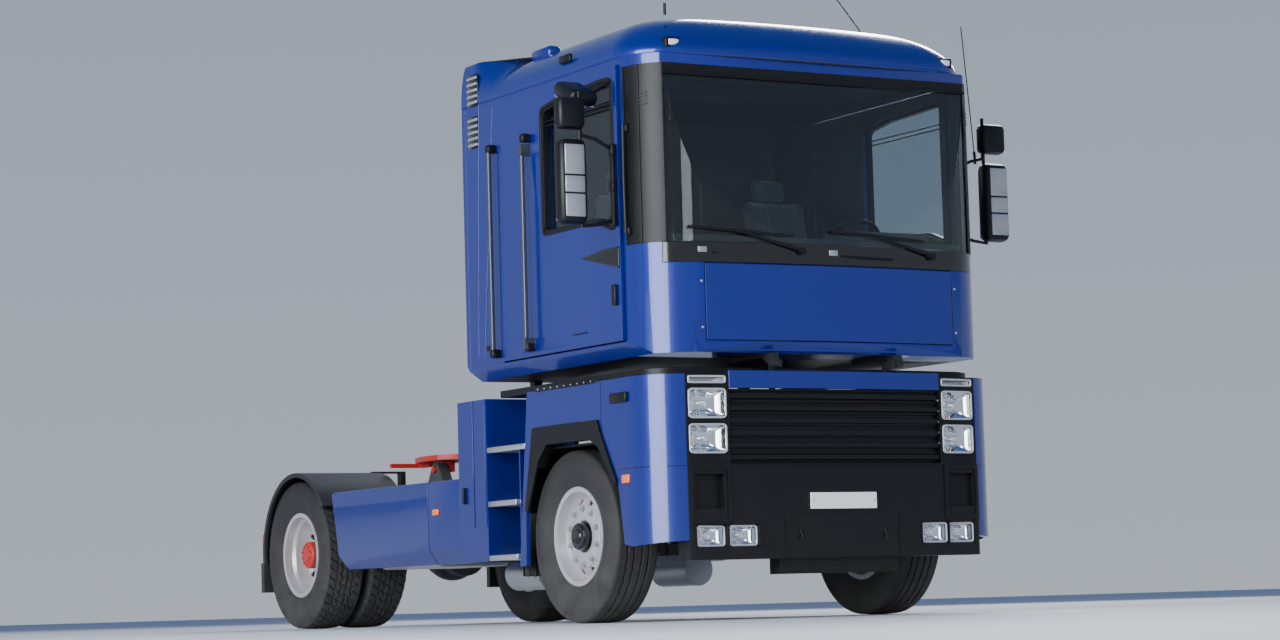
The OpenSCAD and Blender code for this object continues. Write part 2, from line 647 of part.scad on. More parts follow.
module cab_floor() {
  color(black) from_axle() difference() {
    union() {
      block([-cab_back_x + 92, door_x1 + 2], [-cab_w / 2 + 64, cab_w / 2 - 64], [cab_bottom, floor_top]);
      // Tilt lugs
      both_sides() {
        block([door_x1 - 60, tilt_x - 100], [tilt_y - 8, tilt_y + 32],
          [cab_bottom - 22, cab_bottom - seat]);
        block([door_x1 - 60, door_x1 + 2], [tilt_y - 8, tilt_y + 32], [cab_bottom - 22, cab_bottom + 10]);
        across(tilt_y - 8, tilt_y + 32) polygon([[tilt_x - 110, cab_bottom - 22],
          [tilt_x - 110, cab_bottom - seat],
          [tilt_x + 8, cab_bottom - seat], [tilt_x + 26, tilt_z], [tilt_x + 18, tilt_z - 22],
          [tilt_x - 18, tilt_z - 22]]);
      }
    }
    translate([tilt_x, 0, tilt_z]) rod_y(tilt_r + slip, -cab_w / 2, cab_w / 2);
  }
}

module cab_rear_wall() {
  color(blue) from_axle() intersection() {
    cab_form(0);
    block([-big, -cab_back_x + cab_wall], [-big, big], [cab_bottom, gutter_z]);
  }
}

module door_window() {
  // The window in the front half of the door, low at its front
  polygon([[-185, 2390], [470, 2390], [650, 2330], [676, 2330], [676, 3190], [600, 3205], [60, 3185],
    [-185, 3150]]);
}

module cab_sides() {
  color(blue) from_axle() both_sides() difference() {
    intersection() {
      cab_shell();
      block([-cab_back_x + cab_wall + 1, door_x1 + gap], [cab_w / 2 - 63, big], [cab_bottom, gutter_z]);
    }
    block([-door_x0 - gap, door_x1 + 2 * gap], [0, big], [door_z0 - gap, door_z1 + gap]);
  }
  // Rebates that the back edges of the doors close on
  color(black) from_axle() both_sides() {
    block([-door_x0 - 70, -door_x0 - gap - 6], [door_y0 - 26, cab_w / 2 - cab_wall - seat],
      [door_z0 + 40, door_z1 - 40]);
    block([-door_x0 - gap - 7, -door_x0 + 30], [door_y0 - 26, door_y0 - seat],
      [door_z0 + 40, door_z1 - 40]);
  }
}

module cab_roof() {
  hatch_x = [-420, 230];
  color(blue) from_axle() {
    difference() {
      roof_form(0);
      roof_form(cab_wall);
      block([hatch_x[0], hatch_x[1]], [-330, 330], [gutter_z, 4000]);
    }
    // Fins at the back edge of the roof, over the louvres
    both_sides() difference() {
      block([-cab_back_x, -cab_back_x + 300], [cab_w / 2 - 30, cab_w / 2 - 4], [gutter_z + 40, roof_z]);
      roof_form(-seat);
    }
  }
}

module roof_hatch() {
  color(black) from_axle() union() {
    block([-438, 248], [-348, 348], [roof_z - 3.6, roof_z + 24]);
    block([-408, 218], [-318, 318], [roof_z - 40, roof_z]);
  }
}

module cab_front() {
  // Front wall, sills and the two screen pillars
  color(blue) from_axle() difference() {
    intersection() {
      cab_shell();
      block([door_x1 + gap + 1, big], [-big, big], [cab_bottom, gutter_z]);
    }
    // Screen opening
    block([door_x1 + 60, big], [-pillar_y, pillar_y], [screen_z0 - 2, screen_z1 + 2]);
    // Seat of the flap
    intersection() {
      difference() { cab_form(-5); cab_form(skin + gap); }
      block([900, big], [-flap_half - gap, flap_half + gap], [flap_z0 - gap, flap_z1 + gap]);
    }
    // Seat of the band
    intersection() {
      difference() { cab_form(-5); cab_form(skin); }
      block([800, big], [-pillar_y, pillar_y], [band_z0 - 1, screen_z0 - 1]);
    }
  }
  // Buffers that the closed flap rests on
  color(black) from_axle() intersection() {
    difference() { cab_form(skin + seat); cab_form(skin + gap - 0.1); }
    both_sides() block([900, big], [500, 560], [1700, 1760]);
  }
}

module windscreen() {
  color(glass) from_axle() intersection() {
    difference() { cab_form(4); cab_form(4 + glass_t); }
    block([door_x1 + 62, big], [-pillar_y + seat, pillar_y - seat],
      [screen_z0 - 1, screen_z1 + 2 - seat]);
  }
}

module wiper_band() {
  color(black) from_axle() intersection() {
    difference() { cab_form(-2); cab_form(skin - 1); }
    block([802, big], [-pillar_y + 1, pillar_y - 1], [band_z0 + 1, screen_z0 - 2]);
  }
}

module service_flap() {
  color(blue) from_axle() intersection() {
    difference() { cab_form(0); cab_form(skin); }
    block([902, big], [-flap_half, flap_half], [flap_z0, flap_z1]);
  }
}

module dashboard() {
  color(grey) from_axle() intersection() {
    cab_form(cab_wall + 1);
    union() {
      across(-cab_w / 2 + 72, cab_w / 2 - 72) polygon([[660, 1980], [900, floor_top + seat],
        [1020, floor_top + seat],
        [1050, 2190], [980, 2260], [700, 2240], [650, 2160]]);
      // Instrument hood on the left
      across(240, 860) polygon([[640, 2230], [720, 2241], [930, 2258], [900, 2330], [700, 2330]]);
      link(wheel_c - 250 * wheel_axis, wheel_c - (30 + seat) * wheel_axis, 42);
    }
  }
}

module steering_wheel() {
  color(black) from_axle() translate(wheel_c) rotate([0, wheel_tilt, 0]) union() {
    rotate_extrude() translate([225, 0]) circle(r = 15, $fn = 24);
    for (a = [40, 140, 220, 320]) rotate([0, 0, a]) block([40, 216], [-12, 12], [-16, -4]);
    translate([0, 0, -30]) cylinder(r = 58, h = 34);
  }
}

module seats() {
  // Two air-sprung seats: pedestal, cushion, backrest and headrest
  color(grey) from_axle() both_sides() translate([-30, 540, 0]) union() {
    block([-190, 190], [-170, 170], [floor_top + seat, 1960]);
    block([-260, 270], [-255, 255], [1950, 2090]);
    translate([-250, -245, 2040]) rotate([0, -12, 0]) cube([130, 490, 640]);
    translate([-390, -130, 2655]) rotate([0, -12, 0]) cube([95, 260, 170]);
  }
}

module bunk() {
  y = cab_w / 2 - 84;
  color(grey) from_axle() {
    block([-cab_back_x + cab_wall + 2, -640], [-y, y], [floor_top + seat, 1990]);
    block([-cab_back_x + cab_wall + 2, -630], [-y, y], [1990 + seat, 2110]);
  }
}

module wipers() {
  // Two arms on spindles in the band, blades along the foot of the screen
  arm = 430;
  z1 = screen_z0 + 62;
  color(black) from_axle() for (b = [-240, 720]) {
    translate([0, b, 2160]) rod_x(22, cab_front_at(abs(b) - 22) + 2 + seat, cab_front_at(b) + 30);
    hull() {
      translate([cab_front_at(b) + 24, b, 2162]) cube([10, 16, 16], center = true);
      translate([screen_at(b - arm, z1) + 24, b - arm, z1]) cube([8, 10, 12], center = true);
    }
    for (i = [0:4]) hull() for (k = [i, i + 1]) let (y = b - 60 - 136 * k, z = screen_z0 + 42 + 8 * k)
      translate([screen_at(y, z) + 17, y, z]) cube([9, 4, 16], center = true);
    // Clip that holds the blade on its arm
    block([screen_at(b - arm, z1) + 13, screen_at(b - arm, z1) + 28], [b - arm - 20, b - arm + 20],
      [z1 - 10, z1 + 8]);
  }
}

module grab_handle(x, z0, z1, y) {
  // A long tube with a foot at each end
  for (z = [z0, z1 - 70]) block([x - 20, x + 20], [y + seat, y + 70], [z, z + 70]);
  translate([x, y + 52, z0 + 60]) cylinder(r = 15, h = z1 - z0 - 120);
}

module rear_grab_handles() {
  color(black) from_axle() both_sides() union() {
    grab_handle(-835, 1690, 2965, cab_w / 2);
  }
}

module roof_antennas() {
  // A raked whip on the left of the roof and a short stub on the front of it
  foot_r = 22;
  stub_r = 9;
  color(black) from_axle() {
    link([420, 800, crown_at(800) + 10], [-60, 800, roof_z + 470], 4);
    translate([420, 800, crown_at(800 - foot_r) + seat]) cylinder(r = foot_r, h = 30, $fn = 24);
    translate([780, -900, min(visor_at(780 - stub_r), crown_at(900 - stub_r)) + seat])
      cylinder(r = stub_r, h = 70, $fn = 24);
  }
}

module door() {
  // The door leaf with its window, standing a little proud of the cab side
  y1 = cab_w / 2 + door_proud;
  color(blue) from_axle() difference() {
    union() {
      across(door_y0, y1) difference() {
        polygon([[-door_x0, door_z0], [door_x1, door_z0], [door_x1, door_z1], [-door_x0, door_z1]]);
        door_window();
      }
      grab_handle(-352, 1690, 2962, y1 - 1);
    }
    // Groove that holds the glass
    across(y1 - 42 - glass_t - seat, y1 - 42 + seat) offset(delta = 12 + seat) door_window();
  }
}
module door_left() { door(); }
module door_right() { mirror([0, 1, 0]) door(); }

module door_glass() {
  y1 = cab_w / 2 + door_proud - 42;
  color(glass) from_axle() across(y1 - glass_t, y1) offset(delta = 12) door_window();
}
module door_glass_left() { door_glass(); }
module door_glass_right() { mirror([0, 1, 0]) door_glass(); }

module mirror_set() {
  // Main and wide-angle mirrors on two arms from the front edge of the door
  y0 = cab_w / 2 + door_proud;
  x = door_x1 - 32;
  yp = y0 + 233;        // the upright tube that both mirrors clamp on
  tube_r = 11;
  color(black) from_axle() {
    union() {
      block([x - 20, x + 20], [y0 + seat, y0 + 30], [2330, 2800]);
      link([x, y0 + 20, 2360], [x, yp + 5, 2320], 12);
      link([x, y0 + 20, 2780], [x, yp + 5, 2850], 12);
      link([x, yp, 2300], [x, yp, 3120], tube_r);
    }
    difference() {
      along(x - 60, x + 60) offset(r = 30)
        polygon([[yp - 15, 2350], [yp + 135, 2350], [yp + 135, 2800], [yp - 15, 2800]]);
      translate([x, yp, 2200]) cylinder(r = tube_r + seat, h = 1000);
    }
    difference() {
      along(x - 60, x + 50) offset(r = 25)
        polygon([[yp - 15, 2900], [yp + 135, 2900], [yp + 135, 3060], [yp - 15, 3060]]);
      translate([x, yp, 2200]) cylinder(r = tube_r + seat, h = 1000);
    }
  }
}
module mirrors_left() {
  mirror_set();
  color(black) from_axle() link([710, 1400, 2838], [560, 1440, 3730], 4);
}
module mirrors_right() {
  mirror([0, 1, 0]) mirror_set();
  // Kerb mirror over the right-hand door
  color(black) from_axle() {
    translate([560, -1400, 3130]) rotate([0, 25, 0]) cube([260, 190, 90], center = true);
    link([560, -1400, 3110], [706, -1462, 3080], 10);
  }
}

// A tyre about the Y axis, open inwards as a real carcass is.
// Its sidewall's points stand at shares of the sidewall's height h.
function tyre_outline() = let (r = tyre_d / 2, w = tyre_w / 2, b = bead_d / 2 + seat, h = r - b)
  [[b, 62], [b, 112], [b + 0.11 * h, 118], [b + 0.38 * h, w - 6], [b + 0.54 * h, w],
    [b + 0.69 * h, w - 6],
   [b + 0.91 * h, w - 22], [r, w - 40]];
function tyre_cavity() = let (r = tyre_d / 2, w = tyre_w / 2, b = bead_d / 2 + seat, h = r - b)
  [[b + 0.25 * h, 92], [b + 0.54 * h, w - 34], [b + 0.75 * h, w - 44], [b + 0.87 * h, w - 80]];
module tyre() {
  rotate([-90, 0, 0]) rotate_extrude($fn = 96)
    polygon(concat(tyre_outline(), reversed(tyre_outline(), [1, -1]),
    [for (p = tyre_cavity()) [p[0], -p[1]]], reversed(tyre_cavity(), [1, 1])));
}

// A rim about the Y axis: barrel with a flange each side, and a disc whose bolting face is at d.
disc_foot = 18;
outer_disc = 110;
module rim_barrel(d) {
  b = bead_d / 2;
  rotate([-90, 0, 0]) rotate_extrude($fn = 96)
    polygon([[b - 14, -121], [b + 14, -124], [b + 16, -117], [b, -113], [b, -60], [b - 22, -40],
      [b - 22, 30], [b, 60],
      [b, 113], [b + 16, 117], [b + 14, 124], [b - 14, 121], [b - 14, 66], [b - 34, 36],
        [b - 34, -46], [b - 14, -66]]);
  difference() {
    rotate([-90, 0, 0]) rotate_extrude($fn = 96)
      polygon([[110, d], [190, d], [b - 26, disc_foot], [b - 26, disc_foot + 12], [190, d + 14],
        [110, d + 14]]);
    for (a = [0:36:324]) rotate([0, a, 0]) translate([(b + 150) / 2, d - 200, 0]) rotate([-90, 0, 0])
      cylinder(r = 24, h = 400, $fn = 24);
  }
}

module front_wheel_rim() {
  y0 = front_track / 2;
  color(silver) from_axle() translate([0, y0, hub_z]) difference() {
    union() {
      rim_barrel(62);
      rod_y(112, -30, 76);
      rod_y(82, 70, 118);
      rod_y(200, -96, -28);
    }
    rod_y(34 + slip, -200, 62 + slip);
    rod_y(150, -120, -60);
  }
}
module rim_front_left() { front_wheel_rim(); }
module rim_front_right() { mirror([0, 1, 0]) front_wheel_rim(); }

module rear_wheel_rims() {
  y_out = rear_track / 2 + twin_pitch / 2;
  y_in = rear_track / 2 - twin_pitch / 2;
  color(silver) from_axle() translate([-wheelbase, 0, hub_z]) difference() {
    union() {
      translate([0, y_out, 0]) mirror([0, 1, 0]) rim_barrel(outer_disc);
      translate([0, y_in, 0]) rim_barrel(twin_pitch - outer_disc - 28);
      rod_y(112, y_in - 40, y_out - outer_disc);
      rod_y(200, y_in - 60, y_in + 60);
      rod_y(96, y_out - outer_disc - 2, y_out + 60);
    }
    rod_y(44 + slip, 0, rear_track / 2 + 215 + slip);
  }
}
module rims_rear_left() { rear_wheel_rims(); }
module rims_rear_right() { mirror([0, 1, 0]) rear_wheel_rims(); }

module tyre_front_left() { color(black) from_axle() translate([0, front_track / 2, hub_z]) tyre(); }
module tyre_front_right() { color(black) from_axle() translate([0, -front_track / 2, hub_z]) tyre(); }
module twin_tyres() {
  for (s = [-1, 1]) translate([-wheelbase, rear_track / 2 + s * twin_pitch / 2, hub_z]) tyre();
}
module tyres_rear_left() { color(black) from_axle() twin_tyres(); }
module tyres_rear_right() { mirror([0, 1, 0]) color(black) from_axle() twin_tyres(); }

chassis_frame();
engine_block();
front_axle_beam();
rear_axle();
springs();
propshaft();
side_tanks();
side_skirts();
body_panels_left();
body_panels_right();
front_strip();
arch_trims();
step_treads();
grille();
bumper();
headlamps();
fog_lamps();
number_plate();
mudguards();
tail_lamps();
cab_deck();
fifth_wheel_base();
fifth_wheel();
cab_floor();
cab_rear_wall();
cab_sides();
cab_roof();
cab_front();
windscreen();
wiper_band();
dashboard();
seats();
bunk();
wipers();
rear_grab_handles();
roof_antennas();
door_left();
door_right();
door_glass_left();
door_glass_right();
mirrors_left();
mirrors_right();
service_flap();
roof_hatch();
steering_wheel();
knuckle_left();
knuckle_right();
tyre_front_left();
tyre_front_right();
rim_front_left();
rim_front_right();
tyres_rear_left();
tyres_rear_right();
rims_rear_left();
rims_rear_right();
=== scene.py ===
"""A two-axle tractor unit: painted panels, lamps, wheels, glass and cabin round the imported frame.

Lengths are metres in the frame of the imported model. Places along the vehicle are counted from
the front axle, and Layout turns them into the frame's own X.
"""
import json
import logging
import math
from dataclasses import dataclass, field
from enum import Enum
from typing import Iterable, Optional, Sequence

import bmesh
import bpy
import numpy as np
from mathutils import Matrix, Vector


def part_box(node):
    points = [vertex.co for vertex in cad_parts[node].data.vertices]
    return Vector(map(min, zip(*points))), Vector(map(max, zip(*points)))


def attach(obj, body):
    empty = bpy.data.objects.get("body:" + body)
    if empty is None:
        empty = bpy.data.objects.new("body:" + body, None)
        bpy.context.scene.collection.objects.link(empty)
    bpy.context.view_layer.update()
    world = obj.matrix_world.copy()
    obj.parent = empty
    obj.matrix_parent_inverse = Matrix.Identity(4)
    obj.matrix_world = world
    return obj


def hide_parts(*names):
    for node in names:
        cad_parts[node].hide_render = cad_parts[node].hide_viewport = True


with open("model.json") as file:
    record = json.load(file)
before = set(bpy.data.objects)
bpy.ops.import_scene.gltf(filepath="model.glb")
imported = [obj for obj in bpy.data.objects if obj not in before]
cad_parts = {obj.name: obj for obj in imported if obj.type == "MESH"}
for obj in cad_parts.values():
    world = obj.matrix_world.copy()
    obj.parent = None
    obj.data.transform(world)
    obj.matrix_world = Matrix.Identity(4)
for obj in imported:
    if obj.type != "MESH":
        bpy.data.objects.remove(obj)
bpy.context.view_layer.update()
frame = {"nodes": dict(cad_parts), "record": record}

LOG = logging.getLogger("tractor_unit")
Array = np.ndarray


class Body(Enum):
    """The moving bodies that pieces ride on."""

    CHASSIS = "chassis"
    CAB = "cab"
    FLAP = "front_flap"
    HATCH = "hatch"
    STEERING = "steering"
    COUPLING = "coupling_plate"
    DOOR_LEFT = "left_door"
    DOOR_RIGHT = "right_door"
    FRONT_WHEEL_LEFT = "front_left_wheel"
    FRONT_WHEEL_RIGHT = "front_right_wheel"
    REAR_WHEELS_LEFT = "rear_left_wheels"
    REAR_WHEELS_RIGHT = "rear_right_wheels"


class Side(Enum):
    """Left is +Y and right is -Y."""

    LEFT = 1
    RIGHT = -1

    @property
    def word(self) -> str:
        """The side's name in lower case."""
        return self.name.lower()

    @property
    def door(self) -> Body:
        """The body of this side's door."""
        return Body[f"DOOR_{self.name}"]

    @property
    def front_wheel(self) -> Body:
        """The body of this side's steered wheel."""
        return Body[f"FRONT_WHEEL_{self.name}"]

    @property
    def rear_wheels(self) -> Body:
        """The body of this side's pair of driven wheels."""
        return Body[f"REAR_WHEELS_{self.name}"]


# ---------------------------------------------------------------- mesh building


class Shape:
    """Grids and polygons gathered into one mesh."""

    def __init__(self) -> None:
        """Start with no vertices."""
        self.points: list[Array] = []
        self.quads: list[Array] = []
        self.polys: list[list[int]] = []
        self.count = 0

    def add_points(self, pts: Array) -> int:
        """Add an (n, 3) array of points.

        Returns:
            The index of the first one.
        """
        first = self.count
        self.points.append(np.asarray(pts, float).reshape(-1, 3))
        self.count += len(self.points[-1])
        return first

    def grid(self, pts: Array, wrap_u: bool = False, wrap_v: bool = False) -> "Shape":
        """Add a surface sampled on a grid: each cell of the (u, v) lattice is one quad.

        Args:
            pts: Array of shape (nu, nv, 3).
            wrap_u: Joins the last row to the first.
            wrap_v: Joins the last column to the first.
        """
        nu, nv = pts.shape[:2]
        first = self.add_points(pts)
        ids = first + np.arange(nu * nv).reshape(nu, nv)
        if wrap_u:
            ids = np.vstack([ids, ids[:1]])
        if wrap_v:
            ids = np.hstack([ids, ids[:, :1]])
        self.quads.append(np.stack([ids[:-1, :-1], ids[1:, :-1], ids[1:, 1:], ids[:-1, 1:]],
                                   -1).reshape(-1, 4))
        return self

    def fan(self, ring: Array) -> "Shape":
        """Close a ring of points with triangles to its middle."""
        n = len(ring)
        first = self.add_points(np.vstack([ring, ring.mean(0)[None]]))
        self.polys += [[first + i, first + (i + 1) % n, first + n] for i in range(n)]
        return self

    def shell(self, pts: Array, depth: float) -> "Shape":
        """Add a closed sheet: the grid, its copy moved inwards along its normals, and the four edges.

        Args:
            pts: Outer surface, shape (nu, nv, 3).
            depth: Distance along minus the grid's normal.
        """
        inner = pts - grid_normals(pts) * depth
        ring = np.concatenate([pts, inner[:, ::-1]], axis=1)
        self.grid(ring, wrap_v=True)
        for end in (0, -1):
            self.grid(np.stack([pts[end], inner[end]], 0))
        return self

    def box(self, lo: Sequence[float], hi: Sequence[float], r: float = 0.004) -> "Shape":
        """Add a block with round edges: each point of a small sphere moved out to its corner."""
        lo_a, hi_a = np.minimum(lo, hi), np.maximum(lo, hi)
        half = (hi_a - lo_a) / 2
        r = min(r, float(half.min()) * 0.98)
        lon = (np.arange(12) + 0.5) * math.pi / 6
        lat = np.array([-84, -45, -8, 8, 45, 84]) * math.pi / 180
        n = np.stack([np.cos(lat)[:, None] * np.cos(lon), np.cos(lat)[:, None] * np.sin(lon),
                      np.sin(lat)[:, None] * np.ones(12)], -1)
        pts = (lo_a + hi_a) / 2 + np.sign(n) * (half - r) + n * r
        self.grid(pts, wrap_v=True)
        return self.fan(pts[0]).fan(pts[-1])

    def tube(self, path: Array, r: float, seg: int = 12, closed: bool = False) -> "Shape":
        """Sweep a circle of radius r along a path, with flat ends."""
        path = np.asarray(path, float)
        if closed:
            tan = np.roll(path, -1, 0) - np.roll(path, 1, 0)
        else:
            tan = np.gradient(path, axis=0)
        tan /= np.linalg.norm(tan, axis=1)[:, None]
        ref = np.tile(np.array([0.0, 0.0, 1.0]), (len(path), 1))
        ref[np.abs(tan[:, 2]) > 0.9] = [1.0, 0.0, 0.0]
        if (np.abs(tan[:, 2]) > 0.9).any() and not (np.abs(tan[:, 2]) > 0.9).all():
            ref[:] = [0.0, 1.0, 0.0] if np.abs(tan[:, 1]).max() < 0.9 else [1.0, 0.02, 0.0]
        a = np.cross(tan, ref)
        a /= np.linalg.norm(a, axis=1)[:, None]
        b = np.cross(tan, a)
        t = np.arange(seg) * 2 * math.pi / seg
        rad = np.broadcast_to(np.asarray(r, float), (len(path),))[:, None, None]
        pts = path[:, None] + rad * (np.cos(t)[None, :, None] * a[:, None] + np.sin(t)[None, :,
                                                                                       None] * b[:, None])
        self.grid(pts, wrap_u=closed, wrap_v=True)
        if not closed:
            self.fan(pts[0]).fan(pts[-1])
        return self

    def lathe(self, profile: Sequence[Sequence[float]], centre: Sequence[float], seg: int = 64,
              closed: bool = True) -> "Shape":
        """Turn a profile of (distance along Y, radius) about the Y axis through centre."""
        prof = np.asarray(profile, float)
        t = np.arange(seg) * 2 * math.pi / seg
        pts = np.stack([prof[None, :, 1] * np.cos(t)[:, None],
                        np.broadcast_to(prof[None, :, 0], (seg, len(prof))),
                        prof[None, :, 1] * np.sin(t)[:, None]], -1) + np.asarray(centre)
        self.grid(pts, wrap_u=True, wrap_v=closed)
        if not closed:
            self.fan(pts[:, 0]).fan(pts[:, -1])
        return self

    def mesh_of(self, name: str) -> bpy.types.Mesh:
        """The gathered faces as a mesh, doubles merged and faces turned outwards."""
        pts = np.vstack(self.points)
        faces = [f.tolist() for q in self.quads for f in q] + self.polys
        mesh = bpy.data.meshes.new(name)
        mesh.from_pydata(pts.tolist(), [], faces)
        mend(mesh)
        return mesh


def grid_normals(pts: Array) -> Array:
    """Unit normals of a grid: the cross product of its two directions."""
    n = np.cross(np.gradient(pts, axis=0), np.gradient(pts, axis=1))
    return n / np.maximum(np.linalg.norm(n, axis=2, keepdims=True), 1e-12)


def mend(mesh: bpy.types.Mesh) -> None:
    """Merge doubled vertices and turn closed shells outwards."""
    bm = bmesh.new()
    bm.from_mesh(mesh)
    bmesh.ops.remove_doubles(bm, verts=bm.verts, dist=2e-5)
    bmesh.ops.dissolve_degenerate(bm, edges=bm.edges, dist=1e-6)
    bmesh.ops.recalc_face_normals(bm, faces=bm.faces)
    bm.to_mesh(mesh)
    bm.free()


def arc(cx: float, cy: float, r: float, a0: float, a1: float, n: int = 8) -> list[tuple[float, float]]:
    """Points on a circle from angle a0 to a1, in degrees."""
    return [(cx + r * math.cos(math.radians(a)), cy + r * math.sin(math.radians(a)))
            for a in np.linspace(a0, a1, n)]


def rounded(corners: Sequence[tuple[float, float]], r: float, n: int = 5) -> list[tuple[float, float]]:
    """A polygon with its corners rounded: each corner becomes a quadratic curve of reach r."""
    out: list[tuple[float, float]] = []
    pts = [np.array(c, float) for c in corners]
    for i, p in enumerate(pts):
        a, b = pts[i - 1] - p, pts[(i + 1) % len(pts)] - p
        ra, rb = min(r, np.linalg.norm(a) * 0.45), min(r, np.linalg.norm(b) * 0.45)
        s, e = p + a / np.linalg.norm(a) * ra, p + b / np.linalg.norm(b) * rb
        for t in np.linspace(0, 1, n):
            q = (1 - t) ** 2 * s + 2 * t * (1 - t) * p + t * t * e
            out.append((float(q[0]), float(q[1])))
    return out


def plate(name: str, outlines: Sequence[Sequence[tuple[float, float]]], y0: float, y1: float,
          edge: float = 0.004, turn: Optional[Matrix] = None) -> bpy.types.Mesh:
    """A flat plate in the XZ plane between y0 and y1, with holes and rounded edges.

    Args:
        name: Name of the mesh.
        outlines: The outer outline and any holes, each a list of (x, z).
        y0: Lower side in Y.
        y1: Upper side in Y.
        edge: Radius of the rounded edges.
        turn: Optional matrix applied at the end.
    """
    curve = bpy.data.curves.new(name, "CURVE")
    curve.dimensions, curve.fill_mode = "2D", "BOTH"
    edge = min(edge, abs(y1 - y0) * 0.45)
    curve.extrude, curve.bevel_depth = abs(y1 - y0) / 2 - edge, edge
    curve.bevel_resolution, curve.offset = 2, -edge
    for line in outlines:
        sp = curve.splines.new("POLY")
        sp.points.add(len(line) - 1)
        sp.points.foreach_set("co", np.array([[x, z, 0, 1] for x, z in line], float).ravel())
        sp.use_cyclic_u = True
    obj = bpy.data.objects.new(name, curve)
    bpy.context.collection.objects.link(obj)
    deps = bpy.context.evaluated_depsgraph_get()
    mesh = bpy.data.meshes.new_from_object(obj.evaluated_get(deps))
    bpy.data.objects.remove(obj)
    co = np.empty(len(mesh.vertices) * 3)
    mesh.vertices.foreach_get("co", co)
    co = co.reshape(-1, 3)
    mesh.vertices.foreach_set("co", np.stack([co[:, 0], co[:, 2] + (y0 + y1) / 2, co[:, 1]], 1).ravel())
    if turn is not None:
        mesh.transform(turn)
    mesh.name = name
    mend(mesh)
    return mesh


def vertex_array(mesh: bpy.types.Mesh) -> Array:
    """The vertices of a mesh as an (n, 3) array."""
    co = np.empty(len(mesh.vertices) * 3)
    mesh.vertices.foreach_get("co", co)
    return co.reshape(-1, 3)


def store_vertices(mesh: bpy.types.Mesh, co: Array) -> None:
    """Write an (n, 3) array back to a mesh."""
    mesh.vertices.foreach_set("co", co.ravel())
    mesh.update()


def bake(obj: bpy.types.Object) -> None:
    """Replace an object's mesh by what its modifiers make of it, and drop them."""
    deps = bpy.context.evaluated_depsgraph_get()
    mesh = bpy.data.meshes.new_from_object(obj.evaluated_get(deps))
    obj.modifiers.clear()
    obj.data = mesh


def joined(name: str, meshes: Iterable[bpy.types.Mesh]) -> bpy.types.Mesh:
    """Several meshes as one."""
    bm = bmesh.new()
    for mesh in meshes:
        bm.from_mesh(mesh)
    out = bpy.data.meshes.new(name)
    bm.to_mesh(out)
    bm.free()
    return out


def place(name: str, mesh: bpy.types.Mesh, body: Body, finish: bpy.types.Material,
          bevel: float = 0.0, smooth: float = 35.0, nodes: Sequence[str] = ()) -> bpy.types.Object:
    """Make a mesh a piece of the vehicle: shading, bevel, material, body, slot and CAD nodes.

    Args:
        name: Name of the piece.
        mesh: Its mesh, in the frame.
        body: The body that it rides on.
        finish: Its material.
        bevel: Width of the bevel modifier, 0 for none.
        smooth: Largest angle, in degrees, that is shaded smooth.
        nodes: CAD nodes that it stands for.
    """
    obj = bpy.data.objects.new(name, mesh)
    bpy.context.collection.objects.link(obj)
    mesh.materials.clear()
    mesh.materials.append(finish)
    mesh.shade_smooth()
    mesh.set_sharp_from_angle(angle=math.radians(smooth))
    if bevel:
        mod = obj.modifiers.new("edges", "BEVEL")
        mod.width, mod.segments, mod.limit_method, mod.angle_limit = bevel, 2, "ANGLE", math.radians(40)
        mod.harden_normals = True
    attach(obj, body.value)
    if nodes:
        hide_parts(*nodes)
    LOG.info("piece %s: %d faces on %s", name, len(mesh.polygons), body.value)
    return obj


# ---------------------------------------------------------------- finishes


class Graph:
    """A short way to place and wire shader nodes."""

    def __init__(self, tree: bpy.types.NodeTree) -> None:
        """Work on one node tree."""
        self.tree = tree

    def node(self, kind: str, attrs: Optional[dict] = None, **inputs: object) -> bpy.types.Node:
        """Add a node, set its attributes and inputs, and link inputs given as sockets.

        Args:
            kind: The node's type without the ShaderNode prefix.
            attrs: Attributes of the node.
            inputs: Input names with _ for spaces, or i0, i1 for inputs by number.
        """
        n = self.tree.nodes.new(kind if kind.startswith("Node") else "ShaderNode" + kind)
        for key, value in (attrs or {}).items():
            setattr(n, key, value)
        for key, value in inputs.items():
            numbered = key[0] == "i" and key[1:].isdigit()
            sock = n.inputs[int(key[1:]) if numbered else key.replace("_", " ")]
            if isinstance(value, bpy.types.NodeSocket):
                self.tree.links.new(value, sock)
            else:
                sock.default_value = value
        return n

    def mix(self, factor: object, a: object, b: object) -> bpy.types.NodeSocket:
        """Blend two colours by a factor."""
        n = self.node("Mix", {"data_type": "RGBA"}, i0=factor, i6=a, i7=b)
        return n.outputs[2]

    def math(self, op: str, a: object, b: object = 0.0, clamp: bool = False) -> bpy.types.NodeSocket:
        """One arithmetic step."""
        return self.node("Math", {"operation": op, "use_clamp": clamp}, i0=a, i1=b).outputs[0]


def rgba(c: Sequence[float]) -> tuple[float, float, float, float]:
    """A colour with full alpha."""
    return (c[0], c[1], c[2], 1.0)


def make_group(name: str, ins: Sequence[tuple[str, str, object]],
               outs: Sequence[tuple[str, str]]) -> tuple:
    """A new shader node group with its sockets, its graph and its two end nodes."""
    tree = bpy.data.node_groups.new(name, "ShaderNodeTree")
    for label, kind, value in ins:
        sock = tree.interface.new_socket(label, in_out="INPUT", socket_type=kind)
        sock.default_value = value
    for label, kind in outs:
        tree.interface.new_socket(label, in_out="OUTPUT", socket_type=kind)
    graph = Graph(tree)
    return tree, graph, tree.nodes.new("NodeGroupInput"), tree.nodes.new("NodeGroupOutput")


